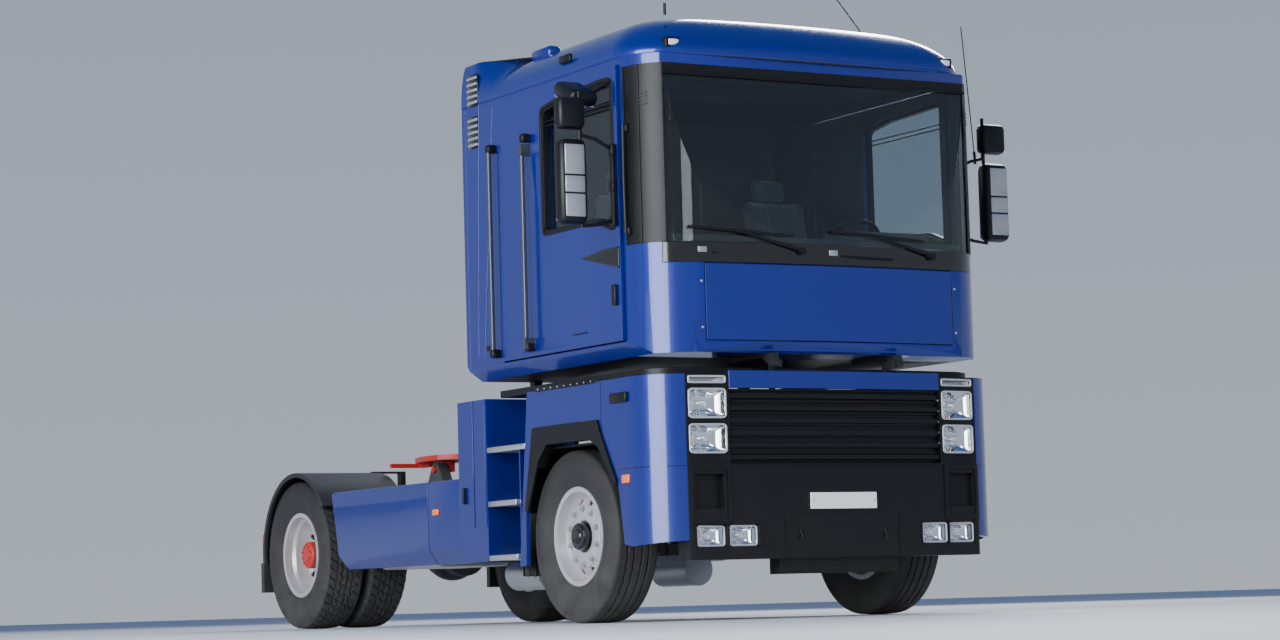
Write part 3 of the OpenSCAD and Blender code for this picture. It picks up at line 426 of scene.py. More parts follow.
class Effects:
    """Shader node groups that several finishes share: grain, road dust and metal flake."""

    def __init__(self) -> None:
        """Build each group once."""
        self.grain = self._grain()
        self.dust = self._dust()
        self.flake = self._flake()

    def _grain(self) -> bpy.types.NodeTree:
        """Fine moulded grain: noise of two sizes as a bump."""
        tree, g, gi, go = make_group("moulded grain",
                [("Scale", "NodeSocketFloat", 400.0), ("Strength", "NodeSocketFloat", 0.2)],
                                     [("Normal", "NodeSocketVector"), ("Value", "NodeSocketFloat")])
        tc = g.node("TexCoord").outputs["Object"]
        a = g.node("TexNoise", Vector=tc, Scale=gi.outputs["Scale"], Detail=3.0)
        b = g.node("TexNoise", Vector=tc, Scale=g.math("MULTIPLY", gi.outputs["Scale"], 0.11), Detail=2.0)
        both = g.math("ADD", a.outputs["Fac"], g.math("MULTIPLY", b.outputs["Fac"], 0.5))
        bump = g.node("Bump", Strength=gi.outputs["Strength"], Distance=0.002, Height=both)
        tree.links.new(bump.outputs[0], go.inputs["Normal"])
        tree.links.new(b.outputs["Fac"], go.inputs["Value"])
        return tree

    def _dust(self) -> bpy.types.NodeTree:
        """Road dust: thick at the ground, gone at the given height, broken up by noise."""
        tree, g, gi, go = make_group("road dust",
                [("Height", "NodeSocketFloat", 1.0), ("Amount", "NodeSocketFloat", 0.3)],
                                     [("Mask", "NodeSocketFloat")])
        tc = g.node("TexCoord").outputs["Object"]
        z = g.node("SeparateXYZ", Vector=tc).outputs[2]
        fade = g.math("SUBTRACT", 1.0, g.math("DIVIDE", z, gi.outputs["Height"]), clamp=True)
        noise = g.node("TexNoise", Vector=tc, Scale=6.0, Detail=6.0, Roughness=0.65).outputs["Fac"]
        spots = g.node("MapRange", Value=noise, From_Min=0.35, From_Max=0.75).outputs[0]
        mask = g.math("MULTIPLY", g.math("MULTIPLY", fade, gi.outputs["Amount"]),
                      g.math("ADD", spots, 0.35), clamp=True)
        tree.links.new(mask, go.inputs["Mask"])
        return tree

    def _flake(self) -> bpy.types.NodeTree:
        """Metal flake: tiny cells that tilt the normal and vary the brightness."""
        tree, g, gi, go = make_group("metal flake",
                [("Scale", "NodeSocketFloat", 900.0), ("Tilt", "NodeSocketFloat", 0.1)],
                                     [("Normal", "NodeSocketVector"), ("Value", "NodeSocketFloat")])
        tc = g.node("TexCoord").outputs["Object"]
        cells = g.node("TexVoronoi", Vector=tc, Scale=gi.outputs["Scale"])
        grey = g.node("SeparateColor", Color=cells.outputs["Color"]).outputs[0]
        peel = g.node("TexNoise", Vector=tc, Scale=90.0, Detail=1.0).outputs["Fac"]
        height = g.math("ADD", g.math("MULTIPLY", grey, gi.outputs["Tilt"]),
                        g.math("MULTIPLY", peel, 0.25))
        bump = g.node("Bump", Strength=0.05, Distance=0.001, Height=height)
        tree.links.new(bump.outputs[0], go.inputs["Normal"])
        tree.links.new(grey, go.inputs["Value"])
        return tree


@dataclass(frozen=True)
class Finish:
    """A surface finish: what one Principled shader needs, with grain, flake and dust over it."""

    name: str
    colour: tuple[float, float, float]
    roughness: float = 0.4
    metallic: float = 0.0
    coat: float = 0.0
    grain: float = 0.0
    grain_scale: float = 400.0
    flake: float = 0.0
    mottle: float = 0.1
    dust: float = 0.0
    dust_height: float = 1.4
    transmission: float = 0.0
    ior: float = 1.5
    sheen: float = 0.0
    glow: float = 0.0
    specular: float = 0.5

    def build(self, fx: Effects) -> bpy.types.Material:
        """The finish as a material with its nodes."""
        mat = bpy.data.materials.new(self.name)
        mat.use_nodes = True
        mat.node_tree.nodes.clear()
        g = Graph(mat.node_tree)
        bsdf = g.node("BsdfPrincipled", Metallic=self.metallic, IOR=self.ior, Coat_Weight=self.coat,
                      Coat_Roughness=0.03,
                      Transmission_Weight=self.transmission, Sheen_Weight=self.sheen,
                      Specular_IOR_Level=self.specular)
        out = g.node("OutputMaterial", Surface=bsdf.outputs[0])
        out.is_active_output = True
        tc = g.node("TexCoord").outputs["Object"]
        blot = g.node("TexNoise", Vector=tc, Scale=2.3, Detail=5.0).outputs["Fac"]
        dark = tuple(c * (1 - self.mottle) for c in self.colour)
        light = tuple(min(1.0, c * (1 + self.mottle)) for c in self.colour)
        colour = g.mix(blot, rgba(dark), rgba(light))
        rough = g.math("ADD", self.roughness - 0.06 * (self.transmission == 0),
                       g.math("MULTIPLY", blot, 0.12 * (self.transmission == 0)))
        if self.flake:
            group = g.node("Group", {"node_tree": fx.flake}, Tilt=self.flake)
            colour = g.mix(g.math("MULTIPLY", group.outputs["Value"], 0.25), colour,
                           rgba(tuple(min(1, c * 1.9 + 0.01) for c in self.colour)))
            g.tree.links.new(group.outputs["Normal"], bsdf.inputs["Normal"])
        if self.grain:
            group = g.node("Group", {"node_tree": fx.grain}, Scale=self.grain_scale, Strength=self.grain)
            g.tree.links.new(group.outputs["Normal"], bsdf.inputs["Normal"])
        if self.dust:
            mask = g.node("Group", {"node_tree": fx.dust}, Height=self.dust_height,
                          Amount=self.dust).outputs["Mask"]
            colour = g.mix(mask, colour, rgba((0.30, 0.27, 0.23)))
            rough = g.math("ADD", rough, g.math("MULTIPLY", mask, 0.5), clamp=True)
        g.tree.links.new(colour, bsdf.inputs["Base Color"])
        if self.transmission == 0:
            g.tree.links.new(rough, bsdf.inputs["Roughness"])
        else:
            bsdf.inputs["Roughness"].default_value = self.roughness
        if self.glow:
            bsdf.inputs["Emission Color"].default_value = rgba(self.colour)
            bsdf.inputs["Emission Strength"].default_value = self.glow
        return mat


FINISHES = (
    Finish("paint", (0.0008, 0.012, 0.185), 0.30, 0.35, coat=0.8, flake=0.6, mottle=0.03, dust=0.06,
           dust_height=1.0),
    Finish("black_plastic", (0.006, 0.006, 0.007), 0.36, grain=0.2, dust=0.03, dust_height=0.9,
           specular=0.3),
    Finish("gloss_black", (0.006, 0.006, 0.007), 0.12, coat=0.5),
    Finish("frame_black", (0.014, 0.014, 0.015), 0.5, grain=0.15, grain_scale=120, dust=0.3,
           dust_height=1.3),
    Finish("cast", (0.10, 0.10, 0.105), 0.55, 0.6, grain=0.4, grain_scale=160, dust=0.3),
    Finish("alloy", (0.62, 0.63, 0.64), 0.34, 0.85, grain=0.05, mottle=0.12),
    Finish("rim_paint", (0.62, 0.62, 0.63), 0.33, 0.55, grain=0.03, mottle=0.06, dust=0.25,
           dust_height=1.2),
    Finish("tyre_rubber", (0.015, 0.015, 0.0155), 0.68, grain=0.3, grain_scale=220, mottle=0.2, dust=0.16,
           dust_height=1.1),
    Finish("mud_rubber", (0.012, 0.012, 0.013), 0.5, grain=0.25, grain_scale=150, dust=0.14,
           dust_height=1.3),
    Finish("red_paint", (0.50, 0.018, 0.012), 0.4, grain=0.06, dust=0.2),
    Finish("chrome", (0.85, 0.86, 0.88), 0.08, 1.0, mottle=0.02),
    Finish("bezel", (0.50, 0.51, 0.53), 0.35, 0.3),
    Finish("white_plate", (0.82, 0.82, 0.80), 0.35, grain=0.03),
    Finish("trim_grey", (0.10, 0.105, 0.115), 0.6, grain=0.35, grain_scale=260),
    Finish("light_trim", (0.085, 0.088, 0.095), 0.6, grain=0.3, grain_scale=260),
    Finish("mirror", (0.80, 0.82, 0.84), 0.03, 1.0, mottle=0.0),
    Finish("satin_grey", (0.42, 0.43, 0.45), 0.3, 0.6, coat=0.3, mottle=0.05),
    Finish("tube_grey", (0.03, 0.036, 0.05), 0.34, coat=0.3, mottle=0.05),
    Finish("orange_lens", (0.85, 0.16, 0.01), 0.18, coat=1.0, glow=0.25),
    Finish("red_lens", (0.55, 0.01, 0.01), 0.18, coat=1.0, glow=0.1),
    Finish("white_lens", (0.72, 0.73, 0.75), 0.22, coat=1.0),
    Finish("lens", (0.97, 0.98, 1.0), 0.02, transmission=1.0, ior=1.2, mottle=0.0),
    Finish("screen_glass", (0.55, 0.63, 0.66), 0.0, transmission=1.0, ior=1.45, mottle=0.0),
    Finish("seat_cloth", (0.07, 0.08, 0.10), 0.9, grain=0.6, grain_scale=700, sheen=0.4),
)


class Palette:
    """All finishes by name, built once."""

    def __init__(self) -> None:
        """Build every finish."""
        fx = Effects()
        self.made = {f.name: f.build(fx) for f in FINISHES}

    def __getitem__(self, name: str) -> bpy.types.Material:
        """The material of a finish."""
        return self.made[name]


# ---------------------------------------------------------------- the vehicle's layout


@dataclass
class Layout:
    """Driving places and sizes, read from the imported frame."""

    axle_x: float = field(default_factory=lambda: sum(c[0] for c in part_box("tyre_front_left")) / 2)
    rear_x: float = field(default_factory=lambda: sum(c[0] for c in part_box("tyres_rear_left")) / 2)
    hub_z: float = field(default_factory=lambda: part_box("tyre_front_left")[1][2] / 2)
    tyre_y: float = field(default_factory=lambda: sum(c[1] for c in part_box("tyre_front_left")) / 2)
    cab_half: float = field(default_factory=lambda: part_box("cab_roof")[1][1])
    body_half: float = field(default_factory=lambda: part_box("side_skirts")[1][1])

    @property
    def cab_front(self) -> float:
        """Front of the cab, ahead of the front axle."""
        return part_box("cab_front")[1][0] - self.axle_x

    def x(self, ahead: float) -> float:
        """Turns a distance ahead of the front axle into the frame's X."""
        return self.axle_x + ahead


class Plan:
    """A plan outline: bowed front, round corners of radius r, and straight sides.

    It is a curve P(s) with s the signed length from the middle of the front, positive to the left.
    The bow is a parabola, and the corner arc starts where its slope meets the parabola's.
    """

    def __init__(self, half: float, front: float, r: float, bow: float, back: float) -> None:
        """Sample the left half densely and keep its running length."""
        a0 = math.atan(2 * bow / (half - r))
        yc = half - r + r * math.sin(a0)
        cx = front - bow - r * math.cos(a0)
        y = np.linspace(0, yc, 120)
        bowed = np.stack([front - bow * (y / yc) ** 2, y], 1)
        a = np.linspace(a0, math.pi / 2, 160)[1:]
        corner = np.stack([cx + r * np.cos(a), half - r + r * np.sin(a)], 1)
        self.side_x = cx
        side = np.stack([np.linspace(cx, back, 60)[1:], np.full(59, half)], 1)
        self.pts = np.vstack([bowed, corner, side])
        self.s = np.concatenate([[0], np.cumsum(np.linalg.norm(np.diff(self.pts, axis=0), axis=1))])

    def at(self, s: Array, inset: Array | float = 0.0) -> Array:
        """Points at signed lengths s, moved in along the normal by inset. Returns (..., 2)."""
        mag = np.abs(s)
        x, y = np.interp(mag, self.s, self.pts[:, 0]), np.interp(mag, self.s, self.pts[:, 1])
        d = np.gradient(self.pts, self.s, axis=0)
        tx, ty = np.interp(mag, self.s, d[:, 0]), np.interp(mag, self.s, d[:, 1])
        ln = np.hypot(tx, ty)
        nx, ny = ty / ln, -tx / ln
        return np.stack([x - nx * inset, np.sign(s) * (y - ny * inset) if np.ndim(s)
                         else np.sign(s) * (y - ny * inset)], -1)

    def s_at_y(self, y: float) -> float:
        """Signed length where the front reaches the half width y."""
        k = np.argmax(self.pts[:, 1] >= abs(y) - 1e-9)
        return float(np.sign(y) * np.interp(abs(y), self.pts[:k + 1, 1], self.s[:k + 1]))

    def s_at_x(self, x: float, sign: int = 1) -> float:
        """Signed length where the outline passes x on its way back."""
        return float(sign * np.interp(-x, -self.pts[:, 0], self.s))


def wall(plan: Plan, lay: Layout, s: Array, z: Array, inset: Array | float = 0.0,
         reach: Optional[Array] = None) -> Array:
    """A wall over a plan outline, cut back above by a raked plane.

    It is S(s, z) = (min(P(s) - inset n, reach(z)), z).

    Args:
        plan: The outline.
        lay: Layout for the frame's X.
        s: Lengths along the outline, shape (nu,).
        z: Heights, shape (nv,).
        inset: Inward offset, a number or one for each height.
        reach: Foremost X allowed at each height, or None.
    """
    ss, zz = np.meshgrid(s, z, indexing="ij")
    ins = np.broadcast_to(np.asarray(inset, float), zz.shape)
    p = plan.at(ss, ins)
    x = p[..., 0]
    if reach is not None:
        x = np.minimum(x, np.broadcast_to(reach, zz.shape) - ins)
    return np.stack([lay.x(0) + x, p[..., 1], zz], -1)


def bar(shape: Shape, plan: Plan, lay: Layout, s: tuple[float, float], z: tuple[float, float],
        proud: float, depth: float,
        n: int = 24) -> None:
    """Add a solid strip that follows a plan outline from s[0] to s[1] and from z[0] to z[1].

    Args:
        shape: Shape to add to.
        plan: The outline.
        lay: Layout for the frame's X.
        s: Lengths along the outline.
        z: Heights.
        proud: How far its face stands out of the outline.
        depth: Its thickness.
        n: Steps along it.
    """
    shape.shell(wall(plan, lay, np.linspace(s[0], s[1], n), np.linspace(z[0], z[1], 4), -proud), depth)


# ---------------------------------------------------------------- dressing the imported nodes


def dressed_mesh(node: str) -> bpy.types.Mesh:
    """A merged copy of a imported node, its flat facets joined, ready for round edges.

    Args:
        node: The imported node.

    Returns:
        The new mesh.
    """
    mesh = frame["nodes"][node].data.copy()
    mesh.name = node + "_skin"
    bm = bmesh.new()
    bm.from_mesh(mesh)
    bmesh.ops.remove_doubles(bm, verts=bm.verts, dist=1e-5)
    bmesh.ops.dissolve_degenerate(bm, edges=bm.edges, dist=1e-6)
    bmesh.ops.dissolve_limit(bm, angle_limit=math.radians(0.3), verts=bm.verts, edges=bm.edges)
    bm.to_mesh(mesh)
    bm.free()
    return mesh


def dress(node: str, body: Body, finish: bpy.types.Material, bevel: float = 0.003,
          smooth: float = 35.0) -> bpy.types.Object:
    """Stand a smooth, round-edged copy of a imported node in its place."""
    return place(node + "_skin", dressed_mesh(node), body, finish, bevel, smooth, (node,))


def repaint(obj: bpy.types.Object, finish: bpy.types.Material, centre: Sequence[float],
            radius: float) -> None:
    """Give a second finish to the faces nearer than radius to an axis along Y through centre."""
    obj.data.materials.append(finish)
    for poly in obj.data.polygons:
        if math.hypot(poly.center.x - centre[0], poly.center.z - centre[2]) < radius:
            poly.material_index = len(obj.data.materials) - 1


def line_inside(obj: bpy.types.Object, finish: bpy.types.Material, axle_x: float) -> None:
    """Give the faces that look into the cab a trim finish: their normals point at the cab's middle.

    Args:
        obj: A panel of the cab.
        finish: The trim.
        axle_x: Place of the front axle in the frame.
    """
    obj.data.materials.append(finish)
    last = len(obj.data.materials) - 1
    half, front, back = 1.1635, axle_x + 1.115, axle_x - 1.2525
    for poly in obj.data.polygons:
        c, n = poly.center, poly.normal
        inside = abs(c.y) < half and back < c.x < front and 1.60 < c.z < 3.63
        if inside and n.dot(Vector((axle_x - c.x, -c.y, 2.4 - c.z))) > 0:
            poly.material_index = last


@dataclass
class Assembly:
    """What every part of the vehicle's dress shares: its layout and its palette."""

    lay: Layout
    pal: Palette

    def put(self, name: str, shape: Shape | bpy.types.Mesh, body: Body, finish: str, slot: str,
            bevel: float = 0.0,
            smooth: float = 35.0, nodes: Sequence[str] = ()) -> bpy.types.Object:
        """Place a shape or mesh with a finish by name."""
        mesh = shape if isinstance(shape, bpy.types.Mesh) else shape.mesh_of(name)
        return place(name, mesh, body, self.pal[finish], bevel, smooth, nodes)

    def wear(self, node: str, body: Body, finish: str, slot: str, bevel: float = 0.003,
             smooth: float = 35.0) -> bpy.types.Object:
        """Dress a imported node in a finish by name."""
        return dress(node, body, self.pal[finish], bevel, smooth)


# ---------------------------------------------------------------- wheels


@dataclass
class Wheels(Assembly):
    """Tyres with tread, rims with nuts, and hubs."""

    def tyre(self, shape: Shape, x: float, y: float, drive: bool) -> None:
        """Add one tyre: a closed profile turned about its axle, cut by the tread.

        The tread depth is g(y) + l(theta, y): g is a smooth notch at each circumferential groove,
        and l is a notch repeated round the tyre, deep at the shoulders and slanted across the middle.

        Args:
            shape: Shape to add to.
            x: Axle's place along the vehicle, in the frame.
            y: Middle of the tyre.
            drive: Block tread with deep cross grooves when true, ribs when false.
        """
        r = self.lay.hub_z
        flank = [(0.062, 0.2863), (0.090, 0.2864), (0.112, 0.2866), (0.1165, 0.296), (0.121, 0.312),
                 (0.134, 0.338), (0.145, 0.362),
                 (0.152, 0.388), (0.1555, 0.412), (0.156, 0.436), (0.153, 0.458), (0.1495, 0.470),
                 (0.1525, 0.473), (0.151, 0.480),
                 (0.147, 0.491), (0.141, 0.505), (0.1345, 0.514), (0.127, 0.519)]
        tread_y = np.linspace(-0.119, 0.119, 53)
        crown = r - 0.0042 * (tread_y / 0.119) ** 2
        outer = [(-a, b) for a, b in flank] + list(zip(tread_y, crown)) + flank[::-1]
        inner = [(0.050, 0.300), (0.092, 0.346), (0.122, 0.412), (0.112, 0.462), (0.076, 0.492),
                 (0.0, 0.498)]
        ring = np.array(outer + inner[:-1] + [inner[-1]] + [(-a, b) for a, b in inner[:-1][::-1]])
        steps = 384 if drive else 320
        theta = np.arange(steps) * 2 * math.pi / steps
        yy = np.tile(ring[:, 0], (steps, 1))
        rr = np.tile(ring[:, 1], (steps, 1))
        k0, k1 = len(flank), len(flank) + len(tread_y)
        ty = yy[:, k0:k1]
        depth = np.zeros_like(ty)
        for g in ((-0.062, -0.021, 0.021, 0.062) if drive else (-0.072, -0.026, 0.026, 0.072)):
            sway = 0.003 * np.sign(np.sin(theta * 48))[:,
                    None] if drive else 0.002 * np.sin(theta * 40)[:, None]
            depth = np.maximum(depth, 0.013 * np.clip((0.0058 - np.abs(ty - g - sway)) / 0.0022, 0, 1))
        lugs = 48 if drive else 80
        phase = (theta[:, None] * lugs / (2 * math.pi) + ty * (9 if drive else 3)) % 1.0
        cut = np.clip((0.12 - np.abs(phase - 0.5)) / 0.05, 0,
                      1) if drive else np.clip((0.10 - np.abs(phase - 0.5)) / 0.05, 0, 1)
        reach = np.ones_like(ty) if drive else (np.abs(ty) > 0.098)
        depth = np.maximum(depth, (0.011 if drive else 0.004) * cut * reach)
        rr[:, k0:k1] -= depth
        for side in (slice(k0 - 5, k0), slice(k1, k1 + 5)):
            edge = (theta * lugs / (2 * math.pi) + np.sign(yy[0, side].mean()) * 0.119 * (9 if drive
                                                                                          else 3)) % 1.0
            notch = np.clip((0.12 - np.abs(edge - 0.5)) / 0.05, 0, 1)[:, None]
            fade = np.linspace(0.3, 1.0, 5)
            fade = fade if side.start < k0 else fade[::-1]
            yy[:, side] -= np.sign(yy[:, side]) * (0.006 if drive else 0.0025) * notch * fade
        pts = np.stack([x + rr * np.cos(theta)[:, None], y + yy,
                        self.lay.hub_z + rr * np.sin(theta)[:, None]], -1)
        shape.grid(pts, wrap_u=True, wrap_v=True)

    def nuts(self, shape: Shape, x: float, y: float, out: int, circle: float = 0.1675, n: int = 10,
             r: float = 0.0165,
             length: float = 0.034) -> None:
        """Add wheel nuts: hexagons with a round collar and a stud end, on a circle about the axle.

        Args:
            shape: Shape to add to.
            x: Axle's place in the frame.
            y: Face that they sit on.
            out: +1 or -1, the way they point.
            circle: Radius of the bolt circle.
            n: Number of nuts.
            r: Radius over a nut's corners.
            length: Height of a nut.
        """
        z0 = self.lay.hub_z
        for i in range(n):
            a = 2 * math.pi * (i + 0.5) / n
            cx, cz = x + circle * math.cos(a), z0 + circle * math.sin(a)
            rings = []
            for depth, rad, count in ((0.0, r * 1.35, 0), (0.006, r * 1.35, 0), (0.006, r, 6),
                                      (length * 0.8, r, 6),
                                      (length * 0.86, r * 0.84, 6), (length * 0.86, r * 0.5, 0),
                                      (length, r * 0.5, 0)):
                t = np.arange(12) * math.pi / 6
                rad_t = rad * (np.where(np.arange(12) % 2, math.cos(math.pi / 6), 1.0) if count
                               else np.ones(12))
                rings.append(np.stack([cx + rad_t * np.cos(t), np.full(12, y + out * depth),
                                       cz + rad_t * np.sin(t)], -1))
            pts = np.array(rings)
            shape.grid(pts, wrap_v=True).fan(pts[0]).fan(pts[-1])

    def front(self, side: Side) -> None:
        """One front wheel."""
        s, w = side.value, side.word
        y, body = s * self.lay.tyre_y, side.front_wheel
        shape = Shape()
        self.tyre(shape, self.lay.axle_x, y, drive=False)
        self.put(f"tyre_front_{w}_tread", shape, body, "tyre_rubber", "tyre_rubber", smooth=50,
                 nodes=(f"tyre_front_{w}",))
        rim = self.wear(f"rim_front_{w}", body, "rim_paint", "rim_paint", 0.0025, 40)
        repaint(rim, self.pal["gloss_black"], (self.lay.axle_x, 0, self.lay.hub_z), 0.1005)
        nuts = Shape()
        self.nuts(nuts, self.lay.axle_x, y + s * 0.0785, s, r=0.015, length=0.024)
        self.put(f"nuts_front_{w}", nuts, body, "satin_grey", "rim_paint", smooth=30)
        disc = Shape()
        disc.lathe([(y + s * 0.0755, 0.096), (y + s * 0.0805, 0.100), (y + s * 0.0810, 0.1875),
                    (y + s * 0.0790, 0.1910), (y + s * 0.0755, 0.191)],
                   (self.lay.axle_x, 0, self.lay.hub_z), seg=72)
        self.put(f"nut_ring_{w}", disc, body, "rim_paint", "rim_paint", smooth=40)
        cap = Shape()
        yc = y + s * 0.118
        cap.lathe([(yc, 0.080), (yc + s * 0.006, 0.079), (yc + s * 0.010, 0.074), (yc + s * 0.010, 0.045),
                   (yc + s * 0.016, 0.040),
                   (yc + s * 0.018, 0.002)], (self.lay.axle_x, 0, self.lay.hub_z), closed=False)
        self.nuts(cap, self.lay.axle_x, yc - s * 0.002, s, circle=0.066, n=8, r=0.006, length=0.014)
        self.put(f"hub_cap_{w}", cap, body, "gloss_black", "rim_paint", smooth=40)
        drum = Shape()
        drum.lathe([(y + s * 0.030, 0.115), (y + s * 0.030, 0.232), (y + s * 0.022, 0.238),
                    (y - s * 0.02, 0.238), (y - s * 0.02, 0.2),
                    (y - s * 0.02, 0.115)], (self.lay.axle_x, 0, self.lay.hub_z), seg=48)
        self.put(f"drum_front_{w}", drum, body, "red_paint", "red_paint", smooth=40)

    def rear(self, side: Side) -> None:
        """One pair of twin rear wheels."""
        s, w = side.value, side.word
        body, x = side.rear_wheels, self.lay.rear_x
        shape = Shape()
        for y in (0.75, 1.09):
            self.tyre(shape, x, s * y, drive=True)
        self.put(f"tyres_rear_{w}_tread", shape, body, "tyre_rubber", "tyre_rubber", smooth=50,
                 nodes=(f"tyres_rear_{w}",))
        rim = self.wear(f"rims_rear_{w}", body, "rim_paint", "rim_paint", 0.0025, 40)
        repaint(rim, self.pal["red_paint"], (x, 0, self.lay.hub_z), 0.1135)
        nuts = Shape()
        self.nuts(nuts, x, s * (1.09 - 0.110), s)
        self.put(f"nuts_rear_{w}", nuts, body, "chrome", "rim_paint", smooth=30)
        cap = Shape()
        y0 = s * 1.15
        cap.lathe([(y0, 0.094), (y0 + s * 0.006, 0.092), (y0 + s * 0.012, 0.084), (y0 + s * 0.012, 0.05),
                   (y0 + s * 0.020, 0.046),
                   (y0 + s * 0.022, 0.002)], (x, 0, self.lay.hub_z), closed=False)
        self.nuts(cap, x, y0 + s * 0.010, s, circle=0.070, n=10, r=0.006, length=0.014)
        self.put(f"hub_cap_rear_{w}", cap, body, "red_paint", "red_paint", smooth=40)

    def build(self) -> None:
        """Every wheel."""
        for side in Side:
            self.front(side)
            self.rear(side)


# ---------------------------------------------------------------- cab


@dataclass
class Cab(Assembly):
    """The tilting cab's outside: panels, doors, glass, handles, louvres and aerials."""

    side_y: float = 1.21
    door_y: float = 1.232
    door_inner_y: float = 1.156
    front: float = 1.162
    roof_front: float = 1.084
    back: float = -1.298
    corner: float = 0.360
    bow: float = 0.046
    glass_low: float = 2.205
    glass_height: float = 1.01
    rake: float = 0.126
    gutter_low: float = 3.3212
    gutter_top: float = 3.350
    crown_power: float = 1.7
    hatch_x: float = -0.095
    hatch_half: tuple[float, float] = (0.325, 0.330)
    mirror_x: float = 0.710
    mirror_arm: float = 0.011
    grab_x: float = -0.835
    grab_radius: float = 0.0155
    grab_feet: tuple[float, float] = (1.675, 2.975)
    louvre_groups: tuple[tuple[float, float], ...] = ((3.335, 3.520), (3.060, 3.248))
    plan: Plan = field(default_factory=lambda: Plan(1.21, 1.162, 0.360, 0.046, -1.30))

    def panels(self) -> None:
        """The painted shell and the moving panels, each with a rounded edge."""
        for node in ("cab_front", "cab_sides", "cab_rear_wall"):
            line_inside(self.wear(node, Body.CAB, "paint", "paint", 0.004, 42), self.pal["light_trim"],
                        self.lay.axle_x)
        self.wear("service_flap", Body.FLAP, "paint", "paint", 0.004)
        self.wear("wiper_band", Body.CAB, "gloss_black", "black_plastic", 0.003)
        self.wear("roof_hatch", Body.HATCH, "trim_grey", "trim_grey", 0.006)
        self.wear("wipers", Body.CAB, "black_plastic", "black_plastic", 0.001)

    def roof(self) -> None:
        """The crowned roof, with a square shoulder at its back corners and a hole for the hatch.

        A ring of outline points A(s) at the gutter is drawn in towards a smaller ring B(s). At the
        share t of the way the height is z = z0 + h (1 - (1 - t)^p)^(1/p), and the reach of B shrinks
        towards the back so that the shoulder there is square. From B the surface runs to the
        hatch's rectangle C(s).
        """
        x = self.lay.x
        plan = Plan(self.side_y, self.roof_front, self.corner, self.bow, self.back)
        end = plan.s_at_x(self.back)
        s = np.concatenate([np.linspace(-end, -plan.s_at_x(0.70), 46)[:-1],
                            np.linspace(-plan.s_at_x(0.70), plan.s_at_x(0.70), 91),
                            np.linspace(plan.s_at_x(0.70), end, 46)[1:]])
        a = plan.at(s)
        across = np.linspace(self.side_y, -self.side_y, 33)[1:-1]
        a = np.vstack([a, np.stack([np.full(31, self.back), across], 1)])
        b = np.stack([self.back + (a[:, 0] - self.back) * 0.824, a[:, 1] * 0.653], 1)
        ease = np.clip((a[:, 0] + 1.12) / 0.34, 0, 1)
        reach = 0.10 + 0.90 * ease * ease * (3 - 2 * ease)
        b = a + (b - a) * reach[:, None]
        b[-31:, 0] = -1.270
        middle = np.array([self.hatch_x, 0.0])
        ray = a - middle
        share = np.minimum(self.hatch_half[0] / np.maximum(np.abs(ray[:, 0]), 1e-6),
                           self.hatch_half[1] / np.maximum(np.abs(ray[:, 1]), 1e-6))
        c = middle + ray * share[:, None]

        def ring(xy: Array, z: Array | float) -> Array:
            """One ring of the surface, in the frame."""
            return np.stack([x(0) + xy[:, 0], xy[:, 1], np.broadcast_to(z, len(xy))], -1)

        top = np.interp(b[:, 0], [-1.30, -0.9, -0.1, 0.4, 0.7], [3.610, 3.614, 3.620, 3.618, 3.612])
        low, base, power = self.gutter_low, self.gutter_top, self.crown_power
        rings = [ring(c, low), ring(a + (c - a) * 0.03, low), ring(a + (c - a) * 0.004, low),
                 ring(a, low + 0.004), ring(a, base)]
        for t in (np.linspace(0, 1, 15)[1:]) ** 1.9:
            rise = (1 - (1 - t) ** power) ** (1 / power)
            rings.append(ring(a + (b - a) * t, base + (top - base) * rise))
        for t in np.linspace(0, 1, 7)[1:]:
            swell = 0.020 * (1 - (1 - t) ** 2)
            rings.append(ring(b + (c - b) * t,
                              np.minimum(top + swell, 3.6360) * (1 - t * t) + 3.6355 * t * t))
        shape = Shape().grid(np.array(rings), wrap_u=True, wrap_v=True)
        roof = self.put("cab_roof_skin", shape, Body.CAB, "paint", "paint", 0.0, 48, ("cab_roof",))
        line_inside(roof, self.pal["light_trim"], self.lay.axle_x)
        hump = Shape()
        for sy in (-1, 1):
            hump.box((x(-0.68), sy * 0.93, 3.54), (x(-0.43), sy * 1.03, 3.622), 0.03)
        self.put("roof_vents", hump, Body.CAB, "paint", "paint")
        lamps, seats = Shape(), Shape()
        for y in (-0.98, 0.98):
            front = plan.at(np.array([plan.s_at_y(y)]))[0, 0]
            seats.box((x(front - 0.10), y - 0.055, 3.36), (x(front - 0.012), y + 0.055, 3.425), 0.012)
            lamps.box((x(front - 0.05), y - 0.035, 3.373), (x(front - 0.004), y + 0.035, 3.412), 0.010)
        self.put("marker_seats", seats, Body.CAB, "black_plastic", "black_plastic")
        self.put("marker_lamps", lamps, Body.CAB, "white_lens", "lens")
        fins = Shape()
        for sy in (-1, 1):
            fins.box((x(0.02), sy * 1.19, 3.405), (x(0.16), sy * 1.212, 3.455), 0.008)
        self.put("gutter_lamps", fins, Body.CAB, "black_plastic", "black_plastic")

